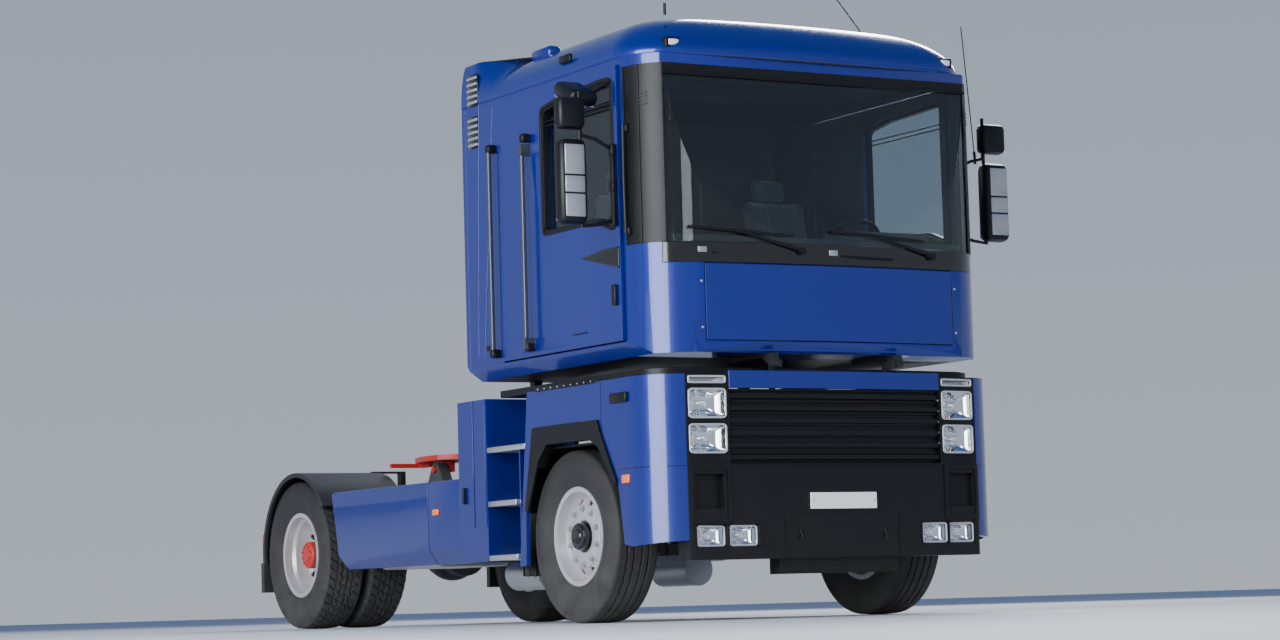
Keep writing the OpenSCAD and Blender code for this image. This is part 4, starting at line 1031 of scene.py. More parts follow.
    def screen_edge(self) -> None:
        """The black surround of the windscreen: corner covers, a strip along the top and rubber beads."""
        z = np.linspace(2.204, 3.262, 14)
        cut = self.raked(z)
        cover, beads = Shape(), Shape()
        s_out, s_in = self.plan.s_at_x(0.796), self.plan.s_at_y(1.080)
        for side in (-1, 1):
            ends = sorted((side * s_in, side * s_out))
            cover.shell(wall(self.plan, self.lay, np.linspace(ends[0], ends[1], 40), z, -0.004, cut),
                        0.006)
            for s0 in (s_in + 0.004, s_out - 0.008, 0.45 * s_in + 0.55 * s_out):
                ends = sorted((side * s0, side * (s0 + 0.012)))
                beads.shell(wall(self.plan, self.lay, np.linspace(ends[0], ends[1], 3), z, -0.011, cut),
                            0.012)
            for z0, z1 in ((2.26, 2.31), (2.87, 2.92)):
                beads.box((self.lay.x(0.805), side * 1.196, z0), (self.lay.x(0.845), side * 1.232, z1),
                          0.010)
            beads.tube([(self.lay.x(0.825), side * 1.236, 2.27), (self.lay.x(0.825), side * 1.240, 2.6),
                        (self.lay.x(0.825), side * 1.236, 2.91)], 0.012)
        top = np.linspace(3.206, 3.262, 5)
        along = np.linspace(-s_in - 0.004, s_in + 0.004, 90)
        cover.shell(wall(self.plan, self.lay, along, top, -0.003, self.raked(top)), 0.006)
        bead = np.linspace(3.196, 3.210, 3)
        beads.shell(wall(self.plan, self.lay, along, bead, -0.010, self.raked(bead)), 0.012)
        vents = Shape()
        for side in (-1, 1):
            for k in range(4):
                z0 = 3.02 + k * 0.022
                ends = sorted((side * (s_in + 0.10), side * (s_in + 0.17)))
                zz = np.array([z0, z0 + 0.010])
                vents.shell(wall(self.plan, self.lay, np.linspace(ends[0], ends[1], 6), zz, -0.009,
                                 self.raked(zz)), 0.008)
        self.put("screen_surround", cover, Body.CAB, "black_plastic", "black_plastic", 0.0015)
        self.put("screen_beads", beads, Body.CAB, "black_plastic", "black_plastic", 0.002)
        self.put("pillar_vents", vents, Body.CAB, "black_plastic", "black_plastic")

    def raked(self, z: Array) -> Array:
        """Foremost X of the raked screen at each height: front - rake t.

        Here t is the share of the glass's height that lies below.
        """
        return self.front - self.rake * np.clip((z - self.glass_low) / self.glass_height, 0, 1)

    def doors(self) -> None:
        """Doors with window rubbers, wedges, locks, handles and mirrors."""
        for side in Side:
            s, w = side.value, side.word
            body = side.door
            door = self.wear(f"door_{w}", body, "paint", "paint", 0.004)
            y = s * self.door_y
            x = self.lay.x
            door.data.materials.append(self.pal["light_trim"])
            door.data.materials.append(self.pal["tube_grey"])
            for poly in door.data.polygons:
                if abs(poly.center.y) < self.door_inner_y:
                    poly.material_index = 1
                elif abs(poly.center.y) > self.door_y + 0.0015:
                    poly.material_index = 2
            window = [(-0.185, 2.39), (0.47, 2.39), (0.65, 2.33), (0.676, 2.33), (0.676, 3.19),
                      (0.60, 3.205), (0.06, 3.185), (-0.185, 3.15)]
            outer = [(-0.205, 2.37), (0.465, 2.37), (0.645, 2.308), (0.70, 2.308), (0.70, 3.215),
                     (0.60, 3.228), (0.058, 3.207), (-0.205, 3.17)]
            ring = [[(x(a), b) for a, b in rounded(outer, 0.05)],
                    [(x(a), b) for a, b in rounded(window, 0.04)]]
            self.put(f"window_rubber_{w}", plate("rubber", ring, y - s * 0.008, y + s * 0.006), body,
                     "black_plastic", "black_plastic")
            inner = [[(x(a), b) for a, b in rounded(window, 0.04)],
                     [(x(a + (0.012 if a < 0 else -0.012 if a > 0.6 else 0)),
                       b + (0.014 if b < 2.5 else -0.014)) for a, b in rounded(window, 0.04)]]
            self.put(f"window_reveal_{w}", plate("reveal", inner, y - s * 0.040, y - s * 0.001, 0.002),
                     body, "black_plastic", "black_plastic")
            wedge = [(x(a), b) for a, b in rounded([(0.273, 2.180), (0.735, 2.074), (0.735, 2.205),
                                                    (0.55, 2.207)], 0.02)]
            self.put(f"door_wedge_{w}", plate("wedge", [wedge], y - s * 0.002, y + s * 0.008), body,
                     "gloss_black", "black_plastic")
            parts = Shape()
            parts.box((x(0.655), y - s * 0.002, 1.86), (x(0.70), y + s * 0.022, 1.985), 0.012)
            parts.box((x(0.15), y - s * 0.002, 1.728), (x(0.33), y + s * 0.004, 1.736), 0.002)
            for z in self.grab_feet:
                parts.box((x(-0.378), y - s * 0.001, z), (x(-0.326), y + s * 0.060, z + 0.055), 0.015)
            for k in range(2):
                parts.box((x(-0.175), y - s * 0.010, 3.075 - 0.028 * k),
                          (x(0.655), y - s * 0.024, 3.083 - 0.028 * k), 0.003)
            self.put(f"door_parts_{w}", parts, body, "black_plastic", "black_plastic")
            self.mirrors(side, body)

    def mirrors(self, side: Side, body: Body) -> None:
        """Mirror heads with their glass, on arms from the door's front edge; the pale grey pads on the
        heads' fronts are a painted reflection of the shiny black housing.
        """
        s, w, x = side.value, side.word, self.lay.x
        post = x(self.mirror_x)
        nodes = (f"mirrors_{w}",)
        heads, arms, reflection_pads, glass = Shape(), Shape(), Shape(), Shape()
        heads.box((x(0.652), s * 1.440, 2.328), (x(0.768), s * 1.624, 2.826), 0.042)
        heads.box((x(0.656), s * 1.440, 2.888), (x(0.758), s * 1.620, 3.078), 0.036)
        glass.box((x(0.6465), s * 1.462, 2.352), (x(0.656), s * 1.604, 2.80), 0.004)
        glass.box((x(0.6505), s * 1.462, 2.908), (x(0.660), s * 1.600, 3.058), 0.004)
        # pale grey pads on the head's front: a painted reflection of the shiny black housing, not a grey
        # part
        for z0, z1 in ((2.365, 2.500), (2.508, 2.606), (2.614, 2.792)):
            reflection_pads.box((x(0.760), s * 1.470, z0), (x(0.7735), s * 1.600, z1), 0.012)
        arms.tube([(post, s * 1.252, 2.36), (x(0.712), s * 1.36, 2.330), (post, s * 1.455, 2.318),
                   (post, s * 1.465, 2.40)], self.mirror_arm)
        arms.tube([(post, s * 1.252, 2.78), (x(0.712), s * 1.36, 2.835), (post, s * 1.455, 2.856),
                   (post, s * 1.465, 2.92)], self.mirror_arm)
        arms.tube([(post, s * 1.465, 2.31), (post, s * 1.465, 2.7), (post, s * 1.465, 3.115)],
                  self.mirror_arm)
        arms.box((x(0.690), s * 1.2325, 2.33), (x(0.730), s * 1.262, 2.80), 0.008)
        for z in (2.36, 2.565, 2.78):
            arms.box((x(0.682), s * 1.236, z - 0.035), (x(0.738), s * 1.268, z + 0.035), 0.010)
        if side is Side.LEFT:
            arms.tube([(post, 1.40, 2.838), (x(0.635), 1.42, 3.284), (x(0.56), 1.44, 3.73)], 0.0035, 8)
            arms.tube([(x(0.712), 1.399, 2.82), (x(0.700), 1.403, 2.90)], 0.009, 10)
        else:
            arms.tube([(x(0.706), -1.462, 3.08), (x(0.66), -1.44, 3.10), (x(0.58), -1.40, 3.12)], 0.010)
            arms.tube([(x(0.60), -1.385, 3.10), (x(0.66), -1.30, 3.16), (x(0.68), -1.238, 3.19)], 0.010)
            turn = Matrix.Rotation(math.radians(25), 4, "Y")
            lean = Matrix.Translation((x(0.560), -1.400, 3.130)) @ turn
            kerb = Shape().box((-0.128, -0.094, -0.044), (0.128, 0.094, 0.044), 0.036).mesh_of("kerb")
            kerb.transform(lean)
            self.put("kerb_mirror", kerb, body, "black_plastic", "black_plastic", nodes=nodes)
            face = Shape().box((-0.112, -0.080, -0.052), (0.112, 0.080, -0.043),
                               0.004).mesh_of("kerb_face")
            face.transform(lean)
            self.put("kerb_mirror_glass", face, body, "mirror", "black_plastic")
        self.put(f"mirror_heads_{w}", heads, body, "black_plastic", "black_plastic", nodes=nodes)
        self.put(f"mirror_arms_{w}", arms, body, "black_plastic", "black_plastic", nodes=nodes)
        # satin grey pads: painted reflection on the black mirror head
        self.put(f"mirror_pads_{w}", reflection_pads, body, "satin_grey", "black_plastic")
        self.put(f"mirror_glass_{w}", glass, body, "mirror", "black_plastic")

    def fittings(self) -> None:
        """Louvres, creases, handles, clips, screws and strips on the fixed cab."""
        x = self.lay.x
        louvres, dark, ribs, feet, tubes, screws, clips = (Shape() for _ in range(7))
        for side in (-1, 1):
            y = side * self.side_y
            for z0, z1 in self.louvre_groups:
                dark.box((x(-1.212), y - side * 0.004, z0 - 0.012),
                         (x(-1.062), y + side * 0.0015, z1 + 0.012), 0.003)
                for k in range(5):
                    z = z0 + 0.014 + k * (z1 - z0 - 0.028) / 4
                    louvres.box((x(-1.205), y, z - 0.009), (x(-1.070), y + side * 0.009, z + 0.009),
                                0.004)
            for top, foot in (((-0.868, 3.279), (-1.048, 1.700)), ((-1.054, 3.330), (-1.132, 1.700))):
                ribs.tube([(x(top[0]), y, top[1]), (x((top[0] + foot[0]) / 2), y, (top[1] + foot[1]) / 2),
                           (x(foot[0]), y, foot[1])], 0.0035, 8)
            for z in self.grab_feet:
                feet.box((x(-0.861), y + side * 0.0005, z), (x(-0.809), y + side * 0.070, z + 0.055),
                         0.015)
            tubes.tube([(x(self.grab_x), y + side * 0.052, z) for z in (1.72, 2.3, 2.99)],
                       self.grab_radius)
            feet.box((x(-1.01), y - side * 0.001, 1.735), (x(-0.94), y + side * 0.010, 1.765), 0.004)
        for y in (-0.897, -0.011):
            front = self.lay.x(float(self.plan.at(np.array([self.plan.s_at_y(y)]))[0, 0]))
            clips.box((front, y - 0.030, 2.138), (front + 0.010, y + 0.030, 2.172), 0.004)
            screws.tube([(front + 0.006, y + 0.06, 2.138), (front + 0.012, y + 0.25, 2.132),
                         (front + 0.006, y + 0.43, 2.130)], 0.006, 8)
        for y in (-0.905, 0.905):
            front = self.lay.x(float(self.plan.at(np.array([self.plan.s_at_y(y)]))[0, 0]))
            for z in (1.70, 1.97):
                clips.box((front - 0.003, y - 0.007, z - 0.007), (front + 0.004, y + 0.007, z + 0.007),
                          0.003)
        self.put("louvre_wells", dark, Body.CAB, "gloss_black", "black_plastic")
        self.put("louvres", louvres, Body.CAB, "satin_grey", "alloy")
        self.put("side_creases", ribs, Body.CAB, "paint", "paint", smooth=60)
        self.put("handle_feet", feet, Body.CAB, "black_plastic", "black_plastic",
                 nodes=("rear_grab_handles",))
        self.put("handle_tubes", tubes, Body.CAB, "tube_grey", "black_plastic",
                 nodes=("rear_grab_handles",))
        self.put("wiper_links", screws, Body.CAB, "black_plastic", "black_plastic")
        self.put("screen_clips", clips, Body.CAB, "satin_grey", "alloy")
        lip = Shape()
        bar(lip, self.plan, self.lay, (self.plan.s_at_y(-0.62), self.plan.s_at_y(0.62)), (1.566, 1.590),
            -0.028, 0.02)
        self.put("front_lip", lip, Body.CAB, "paint", "paint", 0.004)

    def build(self) -> None:
        """Everything on the cab's outside."""
        self.panels()
        self.roof()
        self.screen_edge()
        self.doors()
        self.fittings()


# ---------------------------------------------------------------- lower body


@dataclass
class LowerBody(Assembly):
    """Panels, lamps, grille, bumper, steps and flaps below the cab."""

    seat_y: float = 1.2395
    column_y: tuple[float, float] = (0.760, 1.026)
    lamp_y: tuple[float, float] = (0.767, 1.014)
    headlamp_z: tuple[tuple[float, float], ...] = ((0.964, 1.140), (1.168, 1.346))
    indicator_z: tuple[float, float] = (1.372, 1.420)
    fog_y: tuple[tuple[float, float], ...] = ((0.583, 0.775), (0.793, 0.985))
    fog_z: tuple[float, float] = (0.4245, 0.549)
    box_z: tuple[float, float] = (0.565, 0.892)
    slats: int = 13
    slat_pitch: float = 0.0335
    slat_low: float = 0.930
    tread_z: tuple[float, ...] = (0.440, 0.780, 1.120)
    tread_back: float = -1.0015
    tread_ends: tuple[float, ...] = (-0.6225, -0.6225, -0.494)
    stud_pitch: float = 0.045
    bristle_pitch: float = 0.0085
    plan: Plan = field(default_factory=lambda: Plan(1.24, 1.158, 0.300, 0.046, -1.40))
    bumper_plan: Plan = field(default_factory=lambda: Plan(1.24, 1.162, 0.300, 0.046, -1.40))

    def panels(self) -> None:
        """Painted panels with rounded edges, and the black trims."""
        for node in ("body_panels_left", "body_panels_right", "side_skirts", "front_strip"):
            self.wear(node, Body.CHASSIS, "paint", "paint", 0.0035, 42)
        for node in ("arch_trims", "bumper", "cab_deck", "grille"):
            self.wear(node, Body.CHASSIS, "black_plastic", "black_plastic", 0.003, 42)
        self.wear("mudguards", Body.CHASSIS, "mud_rubber", "mud_rubber", 0.003, 42)
        self.wear("number_plate", Body.CHASSIS, "white_plate", "white_plate", 0.002)
        x = self.lay.x
        dark, orange, studs, paint = Shape(), Shape(), Shape(), Shape()
        for s in (-1, 1):
            dark.box((x(0.605), s * 1.238, 1.285), (x(0.800), s * 1.262, 1.345), 0.012)
            dark.box((x(-0.335), s * 1.2405, 1.422), (x(0.415), s * 1.244, 1.448), 0.004)
            for k in range(9):
                studs.box((x(-0.30 + k * 0.083), s * 1.243, 1.431),
                          (x(-0.29 + k * 0.083), s * 1.247, 1.441), 0.003)
            orange.box((x(0.715), s * self.seat_y, 0.812), (x(0.800), s * 1.252, 0.862), 0.006)
            orange.box((x(-1.775), s * self.seat_y, 0.722), (x(-1.69), s * 1.252, 0.762), 0.006)
            paint.box((x(-0.745), s * 0.905, 1.318), (x(-0.62), s * 1.10, 1.428), 0.03)
            for a in (-1.187, -1.02):
                paint.box((x(a - 0.006), s * self.seat_y, 0.62), (x(a + 0.006), s * 1.2455, 1.42), 0.003)
            dark.box((x(-1.315), s * self.seat_y, 0.775), (x(-1.297), s * 1.262, 0.880), 0.006)
            for z in (0.46, 0.79):
                dark.box((x(0.49), s * self.seat_y, z), (x(0.50), s * 1.2405, z + 0.01), 0.002)
        self.put("side_repeaters", dark, Body.CHASSIS, "black_plastic", "black_plastic")
        self.put("side_markers", orange, Body.CHASSIS, "orange_lens", "lens")
        self.put("panel_studs", studs, Body.CHASSIS, "satin_grey", "alloy")
        self.put("panel_ribs", paint, Body.CHASSIS, "paint", "paint")
        seam = Shape()
        for s in (-1, 1):
            ends = sorted((s * self.plan.s_at_y(1.034), s * self.plan.s_at_x(0.665)))
            bar(seam, self.plan, self.lay, (ends[0], ends[1]), (0.893, 0.898), 0.0008, 0.004)
            ends = sorted((s * self.plan.s_at_x(0.478), s * self.plan.s_at_x(0.474)))
            bar(seam, self.plan, self.lay, (ends[0], ends[1]), (0.9, 1.428), 0.0008, 0.004, 4)
        self.put("panel_seams", seam, Body.CHASSIS, "gloss_black", "black_plastic")

    def lamp(self, y: tuple[float, float], z: tuple[float, float], shapes: dict[str, Shape], inset: float,
             deep: float, flat_x: Optional[float] = None) -> None:
        """Add one rectangular lamp: bezel, bowl, bulb and cover.

        The bowl is a grid over the opening whose depth is deep (1 - max(|u|, |v|)^4), so it is round
        at the bottom.

        Args:
            y: Inner and outer edge, positive, the lamp is made on both sides.
            z: Lower and upper edge.
            shapes: The shapes that collect bezels, bowls, bulbs and covers.
            inset: How far the cover lies behind the outline.
            deep: Depth of the bowl.
            flat_x: Front of a flat lamp, or None where it follows the outline.
        """
        for side in (-1, 1):
            u = np.linspace(-1, 1, 25)
            v = np.linspace(-1, 1, 21)
            uu, vv = np.meshgrid(u, v, indexing="ij")
            half_y, half_z = (y[1] - y[0]) / 2 - 0.010, (z[1] - z[0]) / 2 - 0.010
            mid_y, mid_z = (y[0] + y[1]) / 2, (z[0] + z[1]) / 2
            yy, zz = mid_y + uu * half_y, mid_z + vv * half_z
            if flat_x is None:
                front = np.interp(yy, self.plan.pts[:, 1], self.plan.pts[:, 0]) - inset
            else:
                front = np.full_like(yy, flat_x)
            rad = np.maximum(np.abs(uu), np.abs(vv))
            bowl = front - 0.014 - deep * (1 - rad ** 4)
            pts = np.stack([self.lay.x(0) + bowl, side * yy, zz], -1)
            shapes["bowl"].shell(pts if side > 0 else pts[::-1], 0.003)
            ribs = 0.0012 * np.cos(uu * 14) + 0.003 * (1 - rad ** 6)
            cover = np.stack([self.lay.x(0) + front - 0.004 + ribs, side * yy, zz], -1)
            shapes["cover"].shell(cover if side > 0 else cover[::-1], 0.004)
            shapes["bulb"].tube([(self.lay.x(0) + float(bowl[12, 10]) + t, side * mid_y, mid_z)
                                 for t in (0.0, deep * 0.3, deep * 0.62)], 0.012, 12)
            edge = np.array(rounded([(-1, -1), (1, -1), (1, 1), (-1, 1)], 0.22, 6))
            frame_y, frame_z = mid_y + edge[:, 0] * (half_y + 0.004), mid_z + edge[:,
                                                                                   1] * (half_z + 0.004)
            fx = (np.interp(frame_y, self.plan.pts[:, 1],
                            self.plan.pts[:, 0]) - inset) if flat_x is None else np.full(len(edge),
                                                                                         flat_x)
            path = np.stack([self.lay.x(0) + fx, side * frame_y, frame_z], -1)
            shapes["bezel"].tube(path, 0.0062, 8, closed=True)

    def lamps(self) -> None:
        """Headlamps, indicators and fog lamps."""
        sets = {k: Shape() for k in ("bezel", "bowl", "bulb", "cover")}
        for z in self.headlamp_z:
            self.lamp(self.lamp_y, z, sets, 0.006, 0.062)
        top = {k: Shape() for k in ("bezel", "bowl", "bulb", "cover")}
        self.lamp(self.lamp_y, self.indicator_z, top, 0.006, 0.02)
        for y in self.fog_y:
            self.lamp(y, self.fog_z, sets, 0, 0.05,
                      float(np.interp(y[1], self.plan.pts[:, 1], self.plan.pts[:, 0])) - 0.004)
        self.put("lamp_bezels", sets["bezel"], Body.CHASSIS, "bezel", "lens", smooth=60,
                 nodes=("headlamps", "fog_lamps"))
        self.put("lamp_bowls", sets["bowl"], Body.CHASSIS, "chrome", "lens", smooth=60)
        self.put("lamp_bulbs", sets["bulb"], Body.CHASSIS, "white_lens", "lens", smooth=40)
        self.put("lamp_covers", sets["cover"], Body.CHASSIS, "lens", "lens", smooth=60)
        self.put("indicator_bezels", top["bezel"], Body.CHASSIS, "bezel", "lens", smooth=60)
        self.put("indicator_bowls", top["bowl"], Body.CHASSIS, "satin_grey", "lens", smooth=60)
        self.put("indicator_covers", top["cover"], Body.CHASSIS, "lens", "lens", smooth=60)

    def relief(self, shape: Shape, side: int, y: tuple[float, float], z: tuple[float, float],
               proud: float, depth: float, n: int) -> None:
        """Add one raised strip that follows the bumper's outline.

        Args:
            shape: Shape to add to.
            side: +1 for the left, -1 for the right.
            y: Distances from the middle.
            z: Heights.
            proud: How far it stands out.
            depth: Its thickness.
            n: Steps along it.
        """
        ends = sorted(self.bumper_plan.s_at_y(side * v) for v in y)
        bar(shape, self.bumper_plan, self.lay, (ends[0], ends[1]), z, proud, depth, n)

    def bumper(self) -> None:
        """Raised panels, seams, bolts and towing eyes of the bumper, and fine slats in the grille."""
        x = self.lay.x
        raised, slats, bolts = Shape(), Shape(), Shape()
        for side in (-1, 1):
            for y in ((0.760, 0.783), (1.004, 1.026)):
                self.relief(raised, side, y, self.box_z, 0.008, 0.014, 6)
            for z in ((0.565, 0.590), (0.868, 0.892)):
                self.relief(raised, side, self.column_y, z, 0.008, 0.014, 12)
            for y in ((0.570, 0.577), (0.780, 0.788), (0.990, 0.997)):
                self.relief(raised, side, y, (0.405, 0.565), 0.004, 0.01, 4)
            self.relief(raised, side, (0.40, 0.408), (0.36, 0.60), 0.004, 0.01, 4)
            for k in range(5):
                bolts.box((x(1.100), side * 0.748 - 0.006, 1.02 + 0.065 * k),
                          (x(1.118), side * 0.748 + 0.006, 1.032 + 0.065 * k), 0.004)
        self.relief(raised, 1, (-0.70, 0.70), (0.892, 0.905), 0.006, 0.02, 40)
        self.relief(raised, 1, (-0.30, 0.30), (0.600, 0.610), 0.004, 0.01, 20)
        for s in (-1, 1):
            raised.tube([(x(1.158), s * 0.30, 0.45), (x(1.172), s * 0.30, 0.48),
                         (x(1.158), s * 0.30, 0.51)], 0.008, 8)
            bolts.box((x(1.166), s * 0.215 - 0.006, 0.678), (x(1.1785), s * 0.215 + 0.006, 0.690), 0.004)
        for k in range(self.slats):
            z = self.slat_low + k * self.slat_pitch
            bar(slats, self.plan, self.lay, (self.plan.s_at_y(-0.735), self.plan.s_at_y(0.735)),
                (z, z + 0.010), -0.020, 0.03, 30)
        self.put("bumper_relief", raised, Body.CHASSIS, "black_plastic", "black_plastic", 0.0015)
        self.put("grille_slats", slats, Body.CHASSIS, "black_plastic", "black_plastic", 0.001)
        self.put("grille_bolts", bolts, Body.CHASSIS, "satin_grey", "alloy")

    def steps(self) -> None:
        """Step treads with gripping studs, and the bristle flaps behind the front wheels."""
        x = self.lay.x
        treads, bristles = Shape(), Shape()
        for s in (-1, 1):
            for z, end in zip(self.tread_z, self.tread_ends):
                back = x(self.tread_back)
                treads.box((back, s * 0.9085, z - 0.034), (x(end), s * 1.236, z - 0.004), 0.006)
                treads.box((back, s * 1.222, z - 0.036), (x(end), s * 1.240, z), 0.006)
                for a in np.arange(-0.985, end - 0.012, self.stud_pitch):
                    for b in np.arange(0.925, 1.212, self.stud_pitch):
                        treads.box((x(a), s * b, z - 0.005), (x(a + 0.024), s * (b + 0.018), z), 0.004)
            for a in np.arange(0.735, 1.20, self.bristle_pitch):
                jog = 0.006 * math.sin(a * 400) + 0.006 * math.sin(a * 970)
                bristles.tube([(x(-0.5975), s * a, 0.69),
                               (x(-0.5975 + jog * 0.6), s * (a + jog * 0.3), 0.30 - abs(jog))], 0.0028, 5)
                bristles.tube([(x(-0.5935), s * (a + 0.004), 0.69),
                               (x(-0.5935 - jog * 0.6), s * (a + 0.004 - jog * 0.3), 0.31 - abs(jog))],
                              0.0028, 5)
        self.put("tread_plates", treads, Body.CHASSIS, "alloy", "alloy", nodes=("step_treads",))
        self.put("spray_bristles", bristles, Body.CHASSIS, "mud_rubber", "black_plastic", smooth=60)

    def build(self) -> None:
        """Everything below the cab at the front."""
        self.panels()
        self.lamps()
        self.bumper()
        self.steps()


# ---------------------------------------------------------------- cabin


@dataclass
class Cabin(Assembly):
    """Seats, bunk, dashboard and steering wheel."""

    seat_x: float = -0.03
    seat_y: float = 0.54
    back_lean: float = -12.0
    cloth_pressure: float = 4.0
    cloth_frames: int = 12
    swell: float = 0.011

    def pad(self, name: str, lo: Sequence[float], hi: Sequence[float], nodes: Sequence[str],
            turn: Optional[Matrix] = None, voxel: float = 0.0085, seams: int = 2) -> None:
        """A stuffed pad: a crowned block, blown up as cloth, with sewn channels pressed in afterwards.

        Args:
            name: Name of the piece.
            lo: Lowest corner of the space that it fills.
            hi: Highest corner.
            nodes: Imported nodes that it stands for.
            turn: Optional matrix applied to the finished pad.
            voxel: Size of the remesh.
            seams: Number of sewn channels across it.
        """
        lo_a, hi_a = np.array(lo) + 0.012, np.array(hi) - 0.012
        mesh = Shape().box(lo_a, hi_a, 0.045).mesh_of(name)
        obj = bpy.data.objects.new(name, mesh)
        bpy.context.collection.objects.link(obj)
        bpy.context.view_layer.objects.active = obj
        mod = obj.modifiers.new("remesh", "REMESH")
        mod.mode, mod.voxel_size = "VOXEL", voxel * 1.0
        bake(obj)
        start = vertex_array(obj.data)
        cloth = obj.modifiers.new("cloth", "CLOTH")
        cloth.settings.use_pressure = True
        cloth.settings.uniform_pressure_force = self.cloth_pressure
        cloth.settings.effector_weights.gravity = 0.0
        cloth.settings.quality = 4
        for f in range(1, self.cloth_frames + 1):
            bpy.context.scene.frame_set(f)
        bake(obj)
        bpy.context.scene.frame_set(1)
        move = vertex_array(obj.data) - start
        far = np.linalg.norm(move, axis=1, keepdims=True)
        store_vertices(obj.data, start + move * np.minimum(1.0, self.swell / np.maximum(far, 1e-9)))
        co = vertex_array(obj.data)
        mid, half = (lo_a + hi_a) / 2, (hi_a - lo_a) / 2
        axis = int(np.argmax(half[:2]))
        rel = (co[:, axis] - mid[axis]) / half[axis]
        thin = int(np.argmin(half))
        for k in range(seams):
            at = (k + 1) / (seams + 1) * 2 - 1
            groove = np.exp(-((rel - at) * half[axis] / 0.006) ** 2) * 0.009
            co[:, thin] -= np.sign(co[:, thin] - mid[thin]) * groove * (np.abs(co[:,
                    thin] - mid[thin]) > half[thin] * 0.5)
        store_vertices(obj.data, co)
        if turn is not None:
            obj.data.transform(turn)
        mesh = obj.data
        bpy.data.objects.remove(obj)
        piece = place(name, mesh, Body.CAB, self.pal["seat_cloth"], 0.0, 70, nodes)

    def seats(self) -> None:
        """Two seats on plain pedestals."""
        x = self.lay.x
        base = Shape()
        for s, word in ((1, "left"), (-1, "right")):
            cx, cy = x(self.seat_x), s * self.seat_y
            base.box((cx - 0.18, cy - 0.16, 1.661), (cx + 0.18, cy + 0.16, 1.955), 0.02)
            for k in range(5):
                base.box((cx - 0.186, cy - 0.168, 1.72 + 0.045 * k),
                         (cx + 0.186, cy + 0.168, 1.74 + 0.045 * k), 0.009)
            self.pad(f"seat_cushion_{word}", (cx - 0.26, cy - 0.255, 1.952),
                     (cx + 0.27, cy + 0.255, 2.09), ("seats",))
            tilt = Matrix.Rotation(math.radians(self.back_lean), 4, "Y")
            lean = Matrix.Translation((cx - 0.25, cy - 0.245, 2.04)) @ tilt
            self.pad(f"seat_back_{word}", (0.0, 0.0, 0.045), (0.13, 0.49, 0.64), ("seats",), lean)
            head = Matrix.Translation((cx - 0.39, cy - 0.13, 2.655)) @ tilt
            self.pad(f"headrest_{word}", (0.0, 0.0, 0.01), (0.095, 0.26, 0.17), ("seats",), head, seams=0)
        self.put("seat_bases", base, Body.CAB, "black_plastic", "seat_cloth", nodes=("seats",))
        self.pad("bunk_mattress", (x(-1.247), -1.125, 1.992), (x(-0.632), 1.125, 2.108), ("bunk",),
                 voxel=0.015, seams=5)
        chest = Shape().box((x(-1.247), -1.125, 1.661), (x(-0.641), 1.125, 1.989), 0.012)
        self.put("bunk_chest", chest, Body.CAB, "light_trim", "seat_cloth", nodes=("bunk",))

    def front(self) -> None:
        """Dashboard with vents and dials, steering wheel with its hub pad."""
        self.wear("dashboard", Body.CAB, "trim_grey", "trim_grey", 0.012, 42)
        self.wear("steering_wheel", Body.STEERING, "black_plastic", "black_plastic", 0.002, 45)
        x = self.lay.x
        dials, screen = Shape(), Shape()
        for y in (0.36, 0.52, 0.68):
            dials.tube([(x(0.690), y, 2.285), (x(0.684), y, 2.285)], 0.045 if y != 0.52 else 0.035, 24)
        screen.box((x(0.645), 0.05, 2.205), (x(0.66), 0.21, 2.225), 0.004)
        for y in (-0.9, -0.55, -0.2, 0.0):
            screen.box((x(0.640), y - 0.06, 2.10), (x(0.655), y + 0.06, 2.15), 0.006)
        self.put("dials", dials, Body.CAB, "bezel", "trim_grey")
        self.put("dash_parts", screen, Body.CAB, "gloss_black", "trim_grey")

    def build(self) -> None:
        """The whole cabin."""
        self.seats()
        self.front()


# ---------------------------------------------------------------- chassis


@dataclass
class Rear(Assembly):
    """Fifth wheel, tail lamps, deck plates and tank straps."""

    def build(self) -> None:
        """Everything behind the cab."""
        x, r = self.lay.x, self.lay.rear_x
        self.wear("fifth_wheel", Body.COUPLING, "red_paint", "red_paint", 0.005, 40)
        self.wear("fifth_wheel_base", Body.CHASSIS, "cast", "cast", 0.004)
        self.wear("side_tanks", Body.CHASSIS, "alloy", "alloy", 0.003)
        self.wear("chassis_frame", Body.CHASSIS, "frame_black", "frame_black", 0.002)
        lens, cells, amber, walk, hose = (Shape() for _ in range(5))
        for s in (-1, 1):
            lens.box((r - 0.669, s * 0.640, 0.563), (r - 0.626, s * 1.218, 0.697), 0.010)
            for k in range(6):
                (amber if k == 1 else cells).box((r - 0.6705, s * (0.645 + k * 0.096), 0.570),
                                                 (r - 0.664, s * (0.735 + k * 0.096), 0.690), 0.004)
            hose.tube([(x(-1.42), s * 0.16, 1.02), (x(-1.50), s * 0.17, 1.16), (x(-1.42), s * 0.18, 1.26),
                       (x(-1.34), s * 0.18, 1.18)], 0.012, 10)
        for k in range(9):
            walk.box((x(-2.10 + k * 0.085), -0.34, 0.971), (x(-2.045 + k * 0.085), 0.34, 0.986), 0.004)
        self.put("tail_lenses", lens, Body.CHASSIS, "red_lens", "red_lens", nodes=("tail_lamps",))
        self.put("tail_cells", cells, Body.CHASSIS, "red_lens", "red_lens")
        self.put("tail_indicators", amber, Body.CHASSIS, "orange_lens", "red_lens")
        self.put("walk_plates", walk, Body.CHASSIS, "alloy", "alloy")


# ---------------------------------------------------------------- studio


